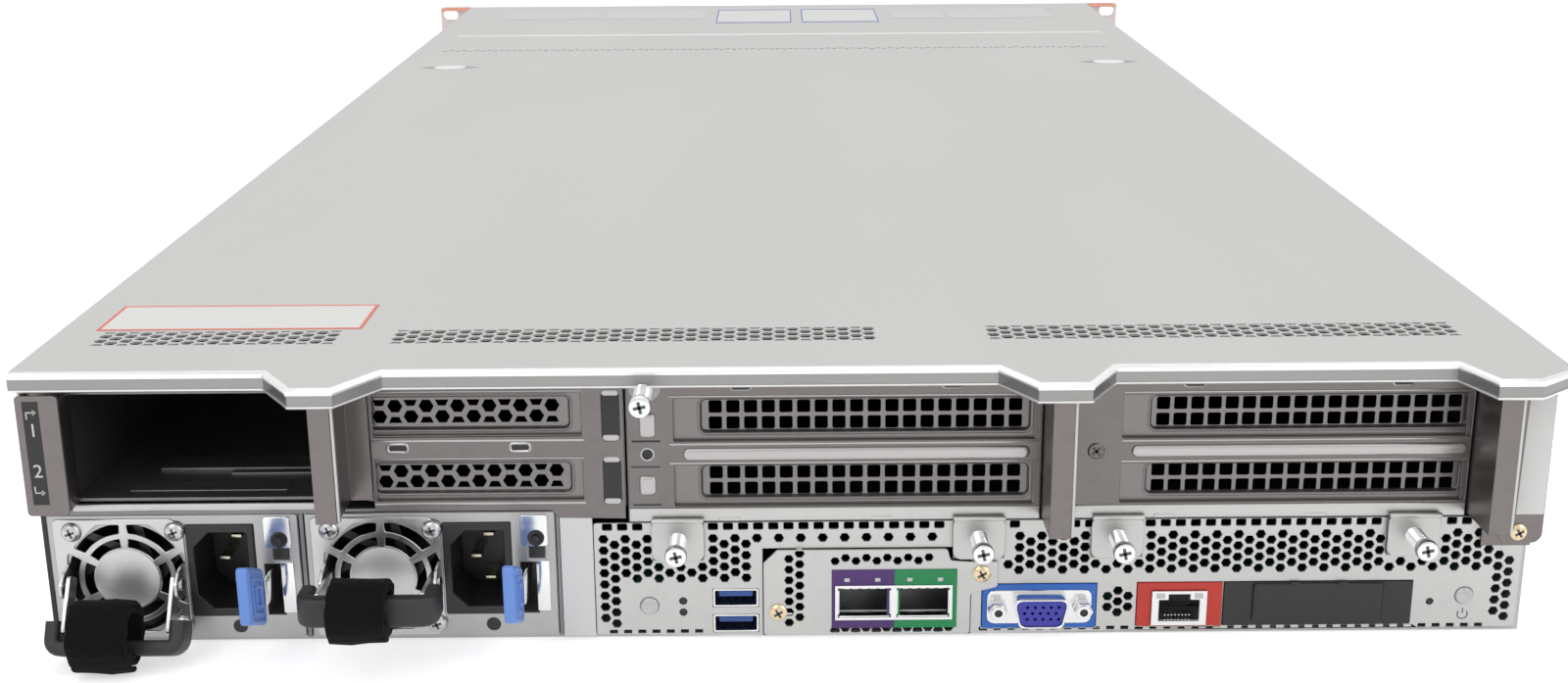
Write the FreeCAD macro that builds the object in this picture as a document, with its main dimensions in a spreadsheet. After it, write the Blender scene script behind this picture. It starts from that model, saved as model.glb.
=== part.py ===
import FreeCAD, Part
import math
import os
import Sketcher

# A two-unit rack server as a parametric document, in millimetres.
# X runs to the right as seen from the rear, Y runs from the rear ports (-Y) to the
# drive bays (+Y), Z runs up. The origin is the centre of the chassis floor's underside.

SIZES = {
    # the chassis and its sheet metal
    "chassis_depth": 780,
    "chassis_width": 433.2,
    "chassis_top": 87,
    "base_sheet": 1.2,
    "thin_sheet": 1.0,
    "seat_gap": 0.3,
    "hem_width": 5.5,
    "panel_hole_gap": 0.2,
    # the top cover and the fixed panel in front of it
    "front_panel_depth": 140,
    "cover_skirt": 17.5,
    "cover_rim": 3,
    "cover_overhang": 8.5,
    "bump_reach": 15,
    "bump_foot": 16.8,
    "bump_nose": 7,
    "vent_hex": 6.4,
    "vent_pitch": 9,
    "vent_from_rear": 22,
    "front_vent_from_rear": 577,
    "front_vent_slot": 3.2,
    "front_vent_pitch": 12,
    "thumb_dent_x": 188,
    "thumb_dent_from_rear": 519,
    "thumb_dent_length": 30,
    "thumb_dent_width": 12,
    "thumb_dent_depth": 0.6,
    # the posts of the rear wall
    "post_1_x": -129.5,
    "post_2_x": 76.4,
    "post_3_x": 200.2,
    "post_width": 6,
    "post_reach": 17,
    "post_foot": 38.4,
    "rail_foot": 81.3,
    "right_flange_foot": 28,
    # the open bay at the top left of the rear
    "bay_left": -207,
    "bay_right": -133.2,
    "bay_floor": 44.9,
    "bay_roof": 79,
    "bay_depth": 160,
    # the power supplies and their bay
    "psu_left": -215.1,
    "psu_width": 72.6,
    "psu_pitch": 74.6,
    "psu_low": 1.5,
    "psu_height": 39.2,
    "psu_length": 185,
    "psu_shelf": 41,
    "psu_wall": 1.4,
    "psu_lip": 3.4,
    "fan_well": 34.8,
    "fan_well_depth": 26,
    "fan_from_left": 22,
    "fan_height": 19.3,
    "guard_hub": 19,
    "guard_ring": 29,
    "guard_ring_width": 2,
    "guard_spoke": 2.2,
    "guard_sheet": 0.8,
    "guard_left": 20.5,
    "guard_right": 17.5,
    "guard_height": 37.6,
    "guard_mouth_width": 31.4,
    "guard_mouth_height": 34,
    "guard_mouth_corner": 8.5,
    "guard_screw_reach": 14.9,
    "guard_screw_head": 4.8,
    "small_fan_hub": 17,
    "small_fan_sweep": 33.6,
    "small_fan_depth": 20,
    "small_fan_from_rear": 1.5,
    "small_fan_shaft": 3,
    "inlet_from_left": 39.7,
    "inlet_width": 20.2,
    "inlet_low": 6.9,
    "inlet_height": 29.4,
    "inlet_depth": 22,
    "inlet_flange": 1,
    "inlet_mouth_width": 15.5,
    "inlet_mouth_height": 24,
    "inlet_mouth_depth": 18,
    "inlet_corner": 4.5,
    "inlet_pin_width": 2,
    "inlet_pin_height": 4,
    "inlet_pin_pitch": 7,
    "latch_from_left": 62.3,
    "latch_width": 4.6,
    "latch_sheet": 0.8,
    "tab_reach": 21,
    "tab_height": 25,
    "tab_low": 7.2,
    "tab_thickness": 4.6,
    "tab_skew": 7,
    "handle_pivot_height": 19.5,
    "handle_pivot_reach": 5,
    "handle_ear_spread": 33,
    "handle_ear_sheet": 1,
    "handle_ear_radius": 4.2,
    "handle_pin": 3,
    "handle_running_gap": 0.05,
    "handle_leg": 1.4,
    "handle_leg_width": 5,
    "handle_reach": 20.5,
    "grip_thickness": 4.8,
    "grip_height": 9,
    "grip_arm": 8,
    "grip_width": 40,
    "handle_1_drop": 60,
    "strap_width": 22,
    "strap_radius": 9,
    "strap_1_lift": 5,
    "strap_1_forward": 3,
    "strap_gap": 0.4,
    # the riser cages and their slot covers
    "cage_low": 37.1,
    "cage_high": 81,
    "cage_depth": 190,
    "cage_1_left": -119.8,
    "cage_1_right": -46.9,
    "cage_2_left": -46.3,
    "cage_2_right": 73.1,
    "cage_3_left": 80,
    "cage_3_right": 196.9,
    "slot_pitch": 20,
    "slot_low": 42.2,
    "slot_1_low": 44.4,
    "slot_height": 13.3,
    "slot_1_length": 60.4,
    "slot_2_length": 103.6,
    "slot_2_margin": 13.4,
    "slot_3_margin": 15.9,
    "slot_cover_sheet": 0.9,
    "slot_cover_lap": 0.8,
    "cover_hole": 3.8,
    "cover_hole_pitch": 5.05,
    "cover_hole_columns": 18,
    "cover_hex": 3.8,
    "cover_hex_pitch": 4.5,
    "cover_hex_columns": 12,
    "cover_hex_band": 7.1,
    "side_window": 3.6,
    "tab_plate_width": 15,
    "tab_plate_low": 25.4,
    "riser_screw_height": 31.8,
    "riser_screw_1_x": -32.2,
    "riser_screw_2_x": 55.5,
    "riser_screw_3_x": 95.8,
    "riser_screw_4_x": 182.2,
    # captive screws
    "screw_head": 6.4,
    "screw_head_length": 5,
    "screw_shank": 3.4,
    "screw_reach": 12,
    "screw_hole_gap": 0.05,
    "cover_screw_x": -40.7,
    "cover_screw_height": 79.8,
    "cover_tab_width": 15,
    # the rear panel of the main board
    "panel_left": -56.8,
    "panel_top": 33.8,
    "comb_height": 3,
    "comb_slot": 8,
    "comb_pitch": 11,
    "lattice_hex": 3.9,
    "lattice_pitch": 6.2,
    "lattice_left": -55.2,
    "port_depth": 15,
    "usb_left": -22.3,
    "usb_width": 13.4,
    "usb_height": 5.6,
    "usb_low_1": 1.7,
    "usb_low_2": 9.9,
    "usb_shell": 0.5,
    "usb_tongue": 1.9,
    "usb_tongue_length": 9,
    "card_left": -7.4,
    "card_right": 53.4,
    "card_low": 1,
    "card_top": 28.2,
    "card_sheet": 1,
    "card_ear": 8,
    "card_screw_1_x": -3.1,
    "card_screw_1_z": 8.4,
    "card_screw_2_x": 56.6,
    "card_screw_2_z": 20.4,
    "sfp_left": 13.6,
    "sfp_width": 17.2,
    "sfp_low": 6.2,
    "sfp_height": 11,
    "sfp_wall": 0.8,
    "sfp_length": 48,
    "sfp_proud": 2,
    "vga_left": 57,
    "vga_width": 33.6,
    "vga_low": 2.4,
    "vga_height": 14,
    "vga_shell_width": 16.4,
    "vga_shell_height": 9.4,
    "vga_shell_reach": 6,
    "vga_jack_spacing": 25,
    "vga_jack": 4.8,
    "vga_jack_reach": 5,
    "vga_jack_bore": 2.5,
    "flange_sheet": 0.8,
    "lan_left": 102.7,
    "lan_width": 25,
    "lan_low": 2.6,
    "lan_height": 13.9,
    "lan_mouth_width": 12,
    "lan_mouth_height": 8.4,
    "lan_mouth_low": 4.6,
    "lan_mouth_depth": 12.5,
    "blank_left": 128.1,
    "blank_width": 55.6,
    "blank_flap_left": 137,
    "blank_flap_width": 38.4,
    "blank_flap_proud": 1,
    # push buttons
    "id_button_x": -41,
    "id_button_z": 10.4,
    "power_button_x": 199.3,
    "power_button_z": 11.6,
    "button_width": 5.2,
    "button_proud": 0.8,
    "button_length": 7,
    "button_gap": 0.1,
    "light_hole": 2.4,
    "id_light_x": -31.2,
    "power_light_x": 189.3,
    # the main board and what stands on it
    "board_low": 4.5,
    "board_sheet": 1.6,
    "board_length": 385,
    "board_left": -55,
    "board_wide_from_rear": 212,
    "standoff_width": 7,
    "socket_spread": 105,
    "socket_from_rear": 320,
    "heatsink_width": 78,
    "heatsink_length": 94,
    "heatsink_height": 62,
    "heatsink_foot": 6,
    "fin_pitch": 5.2,
    "fin_sheet": 0.8,
    "memory_length": 133,
    "memory_height": 31,
    "memory_sheet": 3.2,
    "memory_pitch": 8.4,
    "memory_socket": 9,
    "power_board_from_rear": 188,
    "power_board_sheet": 3,
    "power_board_height": 30,
    "power_socket_rise": 6,
    "power_socket_height": 10,
    # the system fans
    "fan_frame": 80,
    "fan_frame_depth": 38,
    "fan_wall_margin": 5.4,
    "fan_hole": 76,
    "fan_hub": 34,
    "fan_tip_gap": 1.5,
    "fan_from_front": 215,
    "fan_shaft": 6,
    "fan_shaft_gap": 0.05,
    "live_bays": 2,
    "blade_count": 7,
    "blade_sheet": 2,
    "blade_angle": 35,
    # the drive cage and what slides into it
    "cage_front_depth": 152,
    "bay_wall_margin": 0.8,
    "bay_gap": 2.3,
    "bay_height": 26.4,
    "bay_rise": 27.6,
    "bay_low": 2.6,
    "carrier_length": 139.6,
    "carrier_face": 5,
    "carrier_grip": 74,
    "blank_depth": 12,
    "backplane_sheet": 2.4,
    "backplane_slot": 16,
    # the rack ears and the side studs
    "ear_width": 22.8,
    "ear_sheet": 2,
    "ear_back": 32,
    "ear_slot_margin": 6.85,
    "ear_slot_rise": 76.2,
    "ear_slot_height": 6.8,
    "ear_slot_length": 10.3,
    "ear_trim": 6,
    "ear_trim_width": 11,
    "stud_width": 7,
    "stud_reach": 3,
    "stud_pitch": 220,
    "stud_height": 43.5,
}


class Size:
    """A length with its number and with the sheet expression that gives it."""

    def __init__(self, value, text):
        self.value = value
        self.text = text

    def __add__(self, other):
        other = as_size(other)
        return Size(self.value + other.value, f"({self.text} + {other.text})")

    def __radd__(self, other):
        return as_size(other) + self

    def __sub__(self, other):
        other = as_size(other)
        return Size(self.value - other.value, f"({self.text} - {other.text})")

    def __rsub__(self, other):
        return as_size(other) - self

    def __mul__(self, other):
        other = as_size(other)
        return Size(self.value * other.value, f"({self.text} * {other.text})")

    def __rmul__(self, other):
        return as_size(other) * self

    def __truediv__(self, other):
        other = as_size(other)
        return Size(self.value / other.value, f"({self.text} / {other.text})")

    def __neg__(self):
        return Size(-self.value, f"(-{self.text})")


def as_size(number):
    return number if isinstance(number, Size) else Size(float(number), f"{float(number):.6f}")


doc = FreeCAD.newDocument("RackServer")
sheet = doc.addObject("Spreadsheet::Sheet", "Sizes")
for row, (alias, number) in enumerate(SIZES.items(), start=1):
    sheet.set(f"A{row}", alias)
    sheet.set(f"B{row}", str(number))
    sheet.setAlias(f"B{row}", alias)
doc.recompute()


class Sheet:
    """The named sizes of the spreadsheet, read as Size values."""

    def __getattr__(self, alias):
        return Size(float(sheet.get(alias)), f"Sizes.{alias}")


s = Sheet()
nodes = {}


# --- general helpers -------------------------------------------------------------


def keep(name, piece):
    """Gives a finished piece its own label, which is also the name of its file."""
    piece.Label = name
    nodes[name] = piece
    return piece


def bind(piece, **values):
    for field, value in values.items():
        piece.setExpression(field.replace("__", "."), as_size(value).text)


def place(piece, x, y, z):
    bind(piece, Placement__Base__x=x, Placement__Base__y=y, Placement__Base__z=z)
    return piece


def span(low, high):
    """A pair of limits, both as sizes."""
    return as_size(low), as_size(high)


def middle(centre, width):
    """The limits of a width laid out about its centre."""
    return as_size(centre) - as_size(width) / 2, as_size(centre) + as_size(width) / 2


def numbers(limits):
    return [limit.value for limit in limits]


def box(x, y, z):
    piece = doc.addObject("Part::Box", "Block")
    bind(piece, Length=x[1] - x[0], Width=y[1] - y[0], Height=z[1] - z[0])
    return place(piece, x[0], y[0], z[0])


TURNS = {
    "X": FreeCAD.Rotation(FreeCAD.Vector(0, 1, 0), 90),
    "Y": FreeCAD.Rotation(FreeCAD.Vector(1, 0, 0), -90),
    "Z": FreeCAD.Rotation(),
}


def rod(axis, x, y, z, width, length):
    """A cylinder whose foot is at x, y, z and which runs along +axis."""
    piece = doc.addObject("Part::Cylinder", "Rod")
    bind(piece, Radius=as_size(width) / 2, Height=length)
    piece.Placement = FreeCAD.Placement(FreeCAD.Vector(), TURNS[axis])
    return place(piece, x, y, z)


def joined(pieces):
    piece = doc.addObject("Part::MultiFuse", "Joined")
    piece.Shapes = pieces
    return piece


def group(pieces):
    piece = doc.addObject("Part::Compound", "Group")
    piece.Links = pieces
    return piece


def cut(base, tools):
    piece = doc.addObject("Part::Cut", "Trimmed")
    piece.Base = base
    piece.Tool = tools[0] if len(tools) == 1 else joined(tools)
    return piece


# --- sketch-based bodies ----------------------------------------------------------


def rect(u, v):
    return [(u[0], v[0]), (u[1], v[0]), (u[1], v[1]), (u[0], v[1])]


def circle(u, v, width):
    return ("circle", as_size(u), as_size(v), as_size(width) / 2)


PLANE_ROLES = {"XY": "XY_Plane", "XZ": "XZ_Plane", "YZ": "YZ_Plane"}


class Piece:
    """A PartDesign body built from fully constrained sketches on its origin planes."""

    def __init__(self):
        self.body = doc.addObject("PartDesign::Body", "Body")

    def sketch(self, plane, start, loops):
        sketch = self.body.newObject("Sketcher::SketchObject", "Sketch")
        for feature in self.body.Origin.OriginFeatures:
            if feature.Role == PLANE_ROLES[plane]:
                sketch.AttachmentSupport = (feature, [""])
        sketch.MapMode = "FlatFace"
        start = as_size(start)
        bind(sketch, AttachmentOffset__Base__z=-start if plane == "XZ" else start)
        for loop in loops:
            if loop[0] == "circle":
                self.draw_circle(sketch, *loop[1:])
            else:
                self.draw_outline(sketch, loop)
        return sketch

    def draw_outline(self, sketch, corners):
        first = sketch.GeometryCount
        count = len(corners)
        corners = [(as_size(u), as_size(v)) for u, v in corners]
        points = [FreeCAD.Vector(u.value, v.value, 0) for u, v in corners]
        lines = [Part.LineSegment(points[i], points[(i + 1) % count]) for i in range(count)]
        sketch.addGeometry(lines, False)
        rules = []
        texts = []
        for i, (u, v) in enumerate(corners):
            here = first + i
            rules.append(Sketcher.Constraint("Coincident", here, 2, first + (i + 1) % count, 1))
            rules.append(Sketcher.Constraint("DistanceX", -1, 1, here, 1, u.value))
            rules.append(Sketcher.Constraint("DistanceY", -1, 1, here, 1, v.value))
            texts += [None, u.text, v.text]
        self.constrain(sketch, rules, texts)

    def draw_circle(self, sketch, u, v, radius):
        here = sketch.GeometryCount
        middle_point = FreeCAD.Vector(u.value, v.value, 0)
        sketch.addGeometry(Part.Circle(middle_point, FreeCAD.Vector(0, 0, 1), radius.value), False)
        rules = [
            Sketcher.Constraint("DistanceX", -1, 1, here, 3, u.value),
            Sketcher.Constraint("DistanceY", -1, 1, here, 3, v.value),
            Sketcher.Constraint("Radius", here, radius.value),
        ]
        self.constrain(sketch, rules, [u.text, v.text, radius.text])

    def constrain(self, sketch, rules, texts):
        first = sketch.ConstraintCount
        sketch.addConstraint(rules)
        for i, text in enumerate(texts):
            if text is not None:
                sketch.setExpression(f"Constraints[{first + i}]", text)

    def pad(self, plane, start, end, *loops):
        """Adds the loops' area between two heights on the plane's axis."""
        feature = self.body.newObject("PartDesign::Pad", "Pad")
        feature.Profile = self.sketch(plane, start, loops)
        bind(feature, Length=as_size(end) - start)
        feature.Reversed = plane == "XZ"
        return feature

    def pocket(self, plane, start, end, *loops):
        feature = self.body.newObject("PartDesign::Pocket", "Pocket")
        feature.Profile = self.sketch(plane, start, loops)
        bind(feature, Length=as_size(end) - start)
        feature.Reversed = plane != "XZ"
        return feature

    def repeat(self, feature, axis, pitch, count):
        """Repeats one feature along its sketch's horizontal or vertical axis."""
        pattern = self.body.newObject("PartDesign::LinearPattern", "Row")
        pattern.Originals = [feature]
        pattern.Direction = (feature.Profile[0], [axis])
        pattern.Occurrences = count
        bind(pattern, Length=as_size(pitch) * (count - 1))
        self.body.Tip = pattern
        return pattern

    def shell(self, wall, is_open):
        """Hollows the body, leaving open the faces that is_open picks."""
        doc.recompute()
        base = self.body.Tip
        faces = base.Shape.Faces
        names = [f"Face{i + 1}" for i, face in enumerate(faces) if is_open(face)]
        feature = self.body.newObject("PartDesign::Thickness", "Shell")
        feature.Base = (base, names)
        feature.Mode = 0
        feature.Join = 1
        feature.Reversed = True
        bind(feature, Value=wall)
        return feature

    def fillet(self, radius, picks):
        """Rounds the edges that picks chooses."""
        doc.recompute()
        base = self.body.Tip
        edges = base.Shape.Edges
        names = [f"Edge{i + 1}" for i, edge in enumerate(edges) if picks(edge)]
        feature = self.body.newObject("PartDesign::Fillet", "Round")
        feature.Base = (base, names)
        bind(feature, Radius=radius)
        return feature


def runs_along(edge, axis):
    """True for a straight edge that lies along one of the axes."""
    if not isinstance(edge.Curve, Part.Line):
        return False
    return abs(getattr(edge.Curve.Direction, axis)) > 0.999


def profile(plane, start, end, *loops):
    piece = Piece()
    piece.pad(plane, start, end, *loops)
    return piece


# --- perforated sheets ------------------------------------------------------------


def ring(points):
    return Part.makePolygon(points + points[:1])


def hexagon(x, z, across_flats, y, turn=0):
    radius = across_flats / math.sqrt(3)
    angles = [math.radians(60 * i + turn) for i in range(6)]
    return [FreeCAD.Vector(x + radius * math.cos(a), y, z + radius * math.sin(a)) for a in angles]


def rectangle(x, z, y):
    """The corners of an upright rectangle from its x and z limits."""
    corners = [(x[0], z[0]), (x[1], z[0]), (x[1], z[1]), (x[0], z[1])]
    return [FreeCAD.Vector(u, y, v) for u, v in corners]


def perforated(outline, holes, thickness):
    """An upright sheet with holes right through it, extruded towards +Y."""
    face = Part.makeFace([ring(outline)] + [ring(hole) for hole in holes], "Part::FaceMakerBullseye")
    return face.extrude(FreeCAD.Vector(0, thickness, 0))


def stored(shape):
    piece = doc.addObject("Part::Feature", "Formed")
    piece.Shape = shape
    return piece


# --- places that several pieces share ----------------------------------------------

rear = -s.chassis_depth / 2
front = s.chassis_depth / 2
wall_outer = s.chassis_width / 2
wall_inner = wall_outer - s.base_sheet
ear_reach = wall_outer + s.ear_width
fan_pitch = (wall_inner - s.fan_wall_margin) / 2
bay_pitch = (wall_inner - s.bay_wall_margin) / 2
bay_width = bay_pitch - s.bay_gap
cover_outer = wall_outer + s.seat_gap + s.thin_sheet
cover_under = s.chassis_top - s.thin_sheet
wall_top = cover_under - s.seat_gap
cover_split = front - s.front_panel_depth
panel_front = rear
panel_back = rear + s.thin_sheet
port_back = rear + s.port_depth
board_top = s.board_low + s.board_sheet


def wide(half):
    return span(-half, half)


# --- chassis -----------------------------------------------------------------------


def chassis_base():
    """Floor and side walls, with the walls' top edges folded inwards."""
    o = wall_outer
    i = wall_inner
    hem = wall_outer - s.hem_width
    hem_low = wall_top - s.base_sheet
    section = [
        (-o, 0), (o, 0), (o, wall_top), (hem, wall_top), (hem, hem_low), (i, hem_low),
        (i, s.base_sheet), (-i, s.base_sheet), (-i, hem_low), (-hem, hem_low), (-hem, wall_top), (-o, wall_top),
    ]
    piece = profile("XZ", rear + s.base_sheet, front, section)
    notch = rect(span(-o * 2, o * 2), span(wall_top - s.hem_width, wall_top * 2))
    piece.pocket("XZ", front - s.cage_front_depth, front, notch)
    keep("chassis_base", piece.body)


def rear_frame():
    """The rear wall: a comb of uprights under one rail, and three folded posts."""
    half_post = s.post_width / 2
    gap = s.seat_gap
    outline = [
        (-wall_outer, s.bay_floor - gap), (-wall_outer, wall_top), (wall_outer, wall_top),
        (wall_outer, s.post_foot), (s.cage_3_right + gap, s.post_foot),
        (s.cage_3_right + gap, s.rail_foot), (s.cage_3_left - gap, s.rail_foot),
        (s.cage_3_left - gap, s.post_foot), (s.cage_2_right + gap, s.post_foot),
        (s.cage_2_right + gap, s.rail_foot), (s.cage_1_left - gap, s.rail_foot),
        (s.cage_1_left - gap, s.bay_floor - gap), (s.bay_right, s.bay_floor - gap),
        (s.bay_right, s.bay_roof), (s.bay_left, s.bay_roof), (s.bay_left, s.bay_floor - gap),
    ]
    piece = profile("XZ", rear, rear + s.base_sheet, outline)
    feet = [s.bay_floor - gap, s.post_foot, s.post_foot]
    for x, foot in zip([s.post_1_x, s.post_2_x, s.post_3_x], feet):
        left, right = middle(x, s.post_width)
        skin = s.thin_sheet
        channel = [
            (left, rear), (left, rear - s.post_reach), (right, rear - s.post_reach), (right, rear),
            (right - skin, rear), (right - skin, rear - s.post_reach + skin),
            (left + skin, rear - s.post_reach + skin), (left + skin, rear),
        ]
        piece.pad("XY", foot, wall_top, channel)
    flange_x = span(s.post_3_x + half_post - s.thin_sheet, wall_outer)
    flange_z = span(s.right_flange_foot, s.bay_roof)
    piece.pad("XZ", rear - s.thin_sheet, rear, rect(flange_x, flange_z))
    keep("rear_frame", piece.body)


def psu_bay():
    """Shelf, divider and inner wall of the power supply bay, as one folded section."""
    left = -wall_inner + s.seat_gap / 3
    divider = s.psu_left + (s.psu_width + s.psu_pitch) / 2
    right = s.psu_left + s.psu_pitch + s.psu_width + s.seat_gap
    low = s.base_sheet
    shelf = s.psu_shelf
    half = s.psu_wall / 2 - s.seat_gap / 3
    section = [
        (left, shelf), (divider - half, shelf), (divider - half, low), (divider + half, low),
        (divider + half, shelf), (right, shelf), (right, low), (right + s.thin_sheet, low),
        (right + s.thin_sheet, shelf + s.thin_sheet), (left, shelf + s.thin_sheet),
    ]
    piece = profile("XZ", rear, rear + s.power_board_from_rear - s.seat_gap, section)
    lip = rect(span(s.psu_left, s.bay_right), span(shelf, shelf + s.psu_lip))
    piece.pad("XZ", rear - s.thin_sheet, rear, lip)
    keep("psu_bay", piece.body)


def rear_bay_cage():
    """The empty bay beside the riser cages: a tray with side walls and a closed far end."""
    outer = span(s.bay_left + s.seat_gap, s.bay_right - s.seat_gap)
    low = s.bay_floor
    high = s.bay_roof - s.seat_gap
    wall = s.thin_sheet
    piece = profile("XZ", rear, rear + s.bay_depth, rect(outer, span(low, high)))
    inside = rect(span(outer[0] + wall, outer[1] - wall), span(low + wall, high - wall))
    piece.pocket("XZ", rear, rear + s.bay_depth - wall, inside)
    keep("rear_bay_cage", piece.body)


def front_top_panel():
    """The fixed roof over the drive bays, with the same section as the cover."""
    o = cover_outer
    i = cover_outer - s.thin_sheet
    low = s.chassis_top - s.cover_skirt
    section = [
        (-o, low), (-i, low), (-i, cover_under), (i, cover_under), (i, low), (o, low),
        (o, s.chassis_top), (-o, s.chassis_top),
    ]
    piece = profile("XZ", cover_split, front, section)
    keep("front_top_panel", piece.body)


# --- top cover ---------------------------------------------------------------------


def cover_outline():
    """The cover from above: straight sides and a rear edge with three blunt bumps."""
    edge = rear - s.cover_overhang
    nose = edge - s.bump_reach
    front_edge = cover_split - s.seat_gap
    points = [(-cover_outer, front_edge), (-cover_outer, edge)]
    for x in (s.post_1_x, s.post_2_x):
        points += [(x - s.bump_foot, edge), (x - s.bump_nose, nose)]
        points += [(x + s.bump_nose, nose), (x + s.bump_foot, edge)]
    last = s.post_3_x
    points += [(last - s.bump_foot, edge), (last - s.bump_nose, nose), (last + s.bump_nose, nose)]
    points += [(last + s.bump_nose, edge), (cover_outer, edge), (cover_outer, front_edge)]
    return points


def top_cover():
    """A shallow pressed tray with side skirts, vents, two thumb dents and a screw tab."""
    edge = rear - s.cover_overhang
    front_edge = cover_split - s.seat_gap
    rim_low = s.chassis_top - s.cover_rim
    piece = profile("XY", rim_low, s.chassis_top, cover_outline())

    def is_open(face):
        """The underside, and the edge that meets the fixed front panel."""
        centre = face.CenterOfMass
        return abs(centre.z - rim_low.value) < 0.001 or abs(centre.y - front_edge.value) < 0.001

    piece.shell(s.thin_sheet, is_open)
    skirt_low = s.chassis_top - s.cover_skirt
    for side in (-1, 1):
        x = sorted([side * cover_outer, side * (cover_outer - s.thin_sheet)], key=lambda d: d.value)
        piece.pad("XY", skirt_low, rim_low, rect(x, span(edge, front_edge)))
    tab_x = middle(s.cover_screw_x, s.cover_tab_width)
    tab_low = s.cover_screw_height - s.screw_head / 2 - s.thin_sheet
    tab = rect(tab_x, span(edge, edge + s.thin_sheet))
    piece.pad("XY", tab_low, rim_low, tab)
    hole = circle(s.cover_screw_x, s.cover_screw_height, s.screw_shank + s.screw_hole_gap * 2)
    piece.pocket("XZ", edge - s.thin_sheet, edge + s.thin_sheet * 2, hole)
    for side in (-1, 1):
        thumb_dent(piece, side * s.thumb_dent_x)
    keep("top_cover", cut(piece.body, [stored(Part.makeCompound(rear_vents() + front_vents()))]))


def punch(corners):
    """A straight punch through the cover's roof, from its corners in plan."""
    low = (cover_under - s.thin_sheet).value
    points = [FreeCAD.Vector(x, y, low) for x, y in corners]
    return Part.Face(ring(points)).extrude(FreeCAD.Vector(0, 0, s.thin_sheet.value * 3))


def rear_vents():
    """Three stretches of hexagonal vents near the rear edge, in staggered rows."""
    pitch = s.vent_pitch.value
    radius = s.vent_hex.value / math.sqrt(3)
    corners = [math.radians(60 * k + 30) for k in range(6)]
    stretches = [
        (s.bay_left, s.bay_right),
        (s.cage_1_left, s.cage_2_right - s.slot_pitch * 2.2),
        (s.post_2_x - s.post_width * 2, s.cage_3_right),
    ]
    punches = []
    for left, right in stretches:
        for row in (0, 1):
            y = (rear + s.vent_from_rear).value + pitch * math.sqrt(3) / 2 * (row - 0.5)
            x = left.value + pitch * (1 + row / 2)
            while x < right.value - pitch / 2:
                punches.append(punch([(x + radius * math.cos(a), y + radius * math.sin(a)) for a in corners]))
                x += pitch
    return punches


def front_vents():
    """One long row of small slots across the cover, above the drive backplane."""
    pitch = s.front_vent_pitch.value
    half = s.front_vent_slot.value / 2
    y = (rear + s.front_vent_from_rear).value
    count = int((s.chassis_width.value - pitch * 2) / pitch)
    punches = []
    for k in range(count):
        x = pitch * (k - (count - 1) / 2)
        corners = [(x - half * 2, y - half), (x + half * 2, y - half)]
        corners += [(x + half * 2, y + half), (x - half * 2, y + half)]
        punches.append(punch(corners))
    return punches


def thumb_dent(piece, x):
    """A shallow lens-shaped dent that the thumbs push against."""
    half = s.thumb_dent_length / 2
    y = rear + s.thumb_dent_from_rear
    lens = [(x - half, y)]
    for k in (-1, 0, 1):
        lens.append((x + half * k / 2, y - s.thumb_dent_width / 2 * math.cos(k)))
    lens.append((x + half, y))
    for k in (1, 0, -1):
        lens.append((x + half * k / 2, y + s.thumb_dent_width / 2 * math.cos(k)))
    piece.pocket("XY", s.chassis_top - s.thumb_dent_depth, s.chassis_top, lens)


# --- captive screws ----------------------------------------------------------------


def captive_screw(name, x, z, seat, tip):
    """A ribbed head and a shank that runs through its sheet, with the axis along Y."""
    head_start = seat - s.screw_reach
    head = rod("Y", x, head_start, z, s.screw_head, s.screw_head_length)
    neck_start = head_start + s.screw_head_length
    neck = rod("Y", x, neck_start, z, s.screw_shank, tip - neck_start)
    collar = rod("Y", x, seat - s.screw_reach / 3, z, s.screw_head * 0.8, s.screw_reach / 3 - s.seat_gap)
    slot_width = s.screw_head / 6
    slot_y = span(head_start - 1, head_start + slot_width)
    slot = box(middle(x, s.screw_head * 2), slot_y, middle(z, slot_width))
    keep(name, cut(joined([head, neck, collar]), [slot]))


# --- riser cages -------------------------------------------------------------------


def riser_cage(number, left, right, low, slot_left, slot_length, slot_low, tabs):
    """A folded box with two slot windows in its rear face and screw tabs below."""
    high = s.cage_high
    skin = s.thin_sheet
    section = [
        (left, low), (right, low), (right, high), (left, high),
        (left, high - skin), (right - skin, high - skin), (right - skin, low + skin), (left, low + skin),
    ]
    piece = profile("XZ", panel_back, rear + s.cage_depth, section)
    windows = []
    slot_x = span(slot_left, slot_left + slot_length)
    for k in (0, 1):
        z = slot_low + s.slot_pitch * k
        windows.append(rect(slot_x, span(z, z + s.slot_height)))
        if number == 1:
            narrow = span(slot_x[1] + s.side_window, right - s.side_window)
            windows.append(rect(narrow, span(z, z + s.slot_height)))
    piece.pad("XZ", panel_front, panel_back, rect(span(left, right), span(low, high)), *windows)
    if tabs:
        tab_front = panel_front - skin - s.seat_gap
        for x in tabs:
            plate_x = middle(x, s.tab_plate_width)
            fold = [
                (tab_front, s.tab_plate_low), (tab_front + skin, s.tab_plate_low),
                (tab_front + skin, low), (panel_front, low), (panel_front, low + skin),
                (tab_front, low + skin),
            ]
            piece.pad("YZ", plate_x[0], plate_x[1], fold)
            hole = circle(x, s.riser_screw_height, s.screw_shank + s.screw_hole_gap * 2)
            piece.pocket("XZ", tab_front - skin, panel_front - s.seat_gap / 2, hole)
    keep(f"riser_cage_{number}", piece.body)


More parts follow.
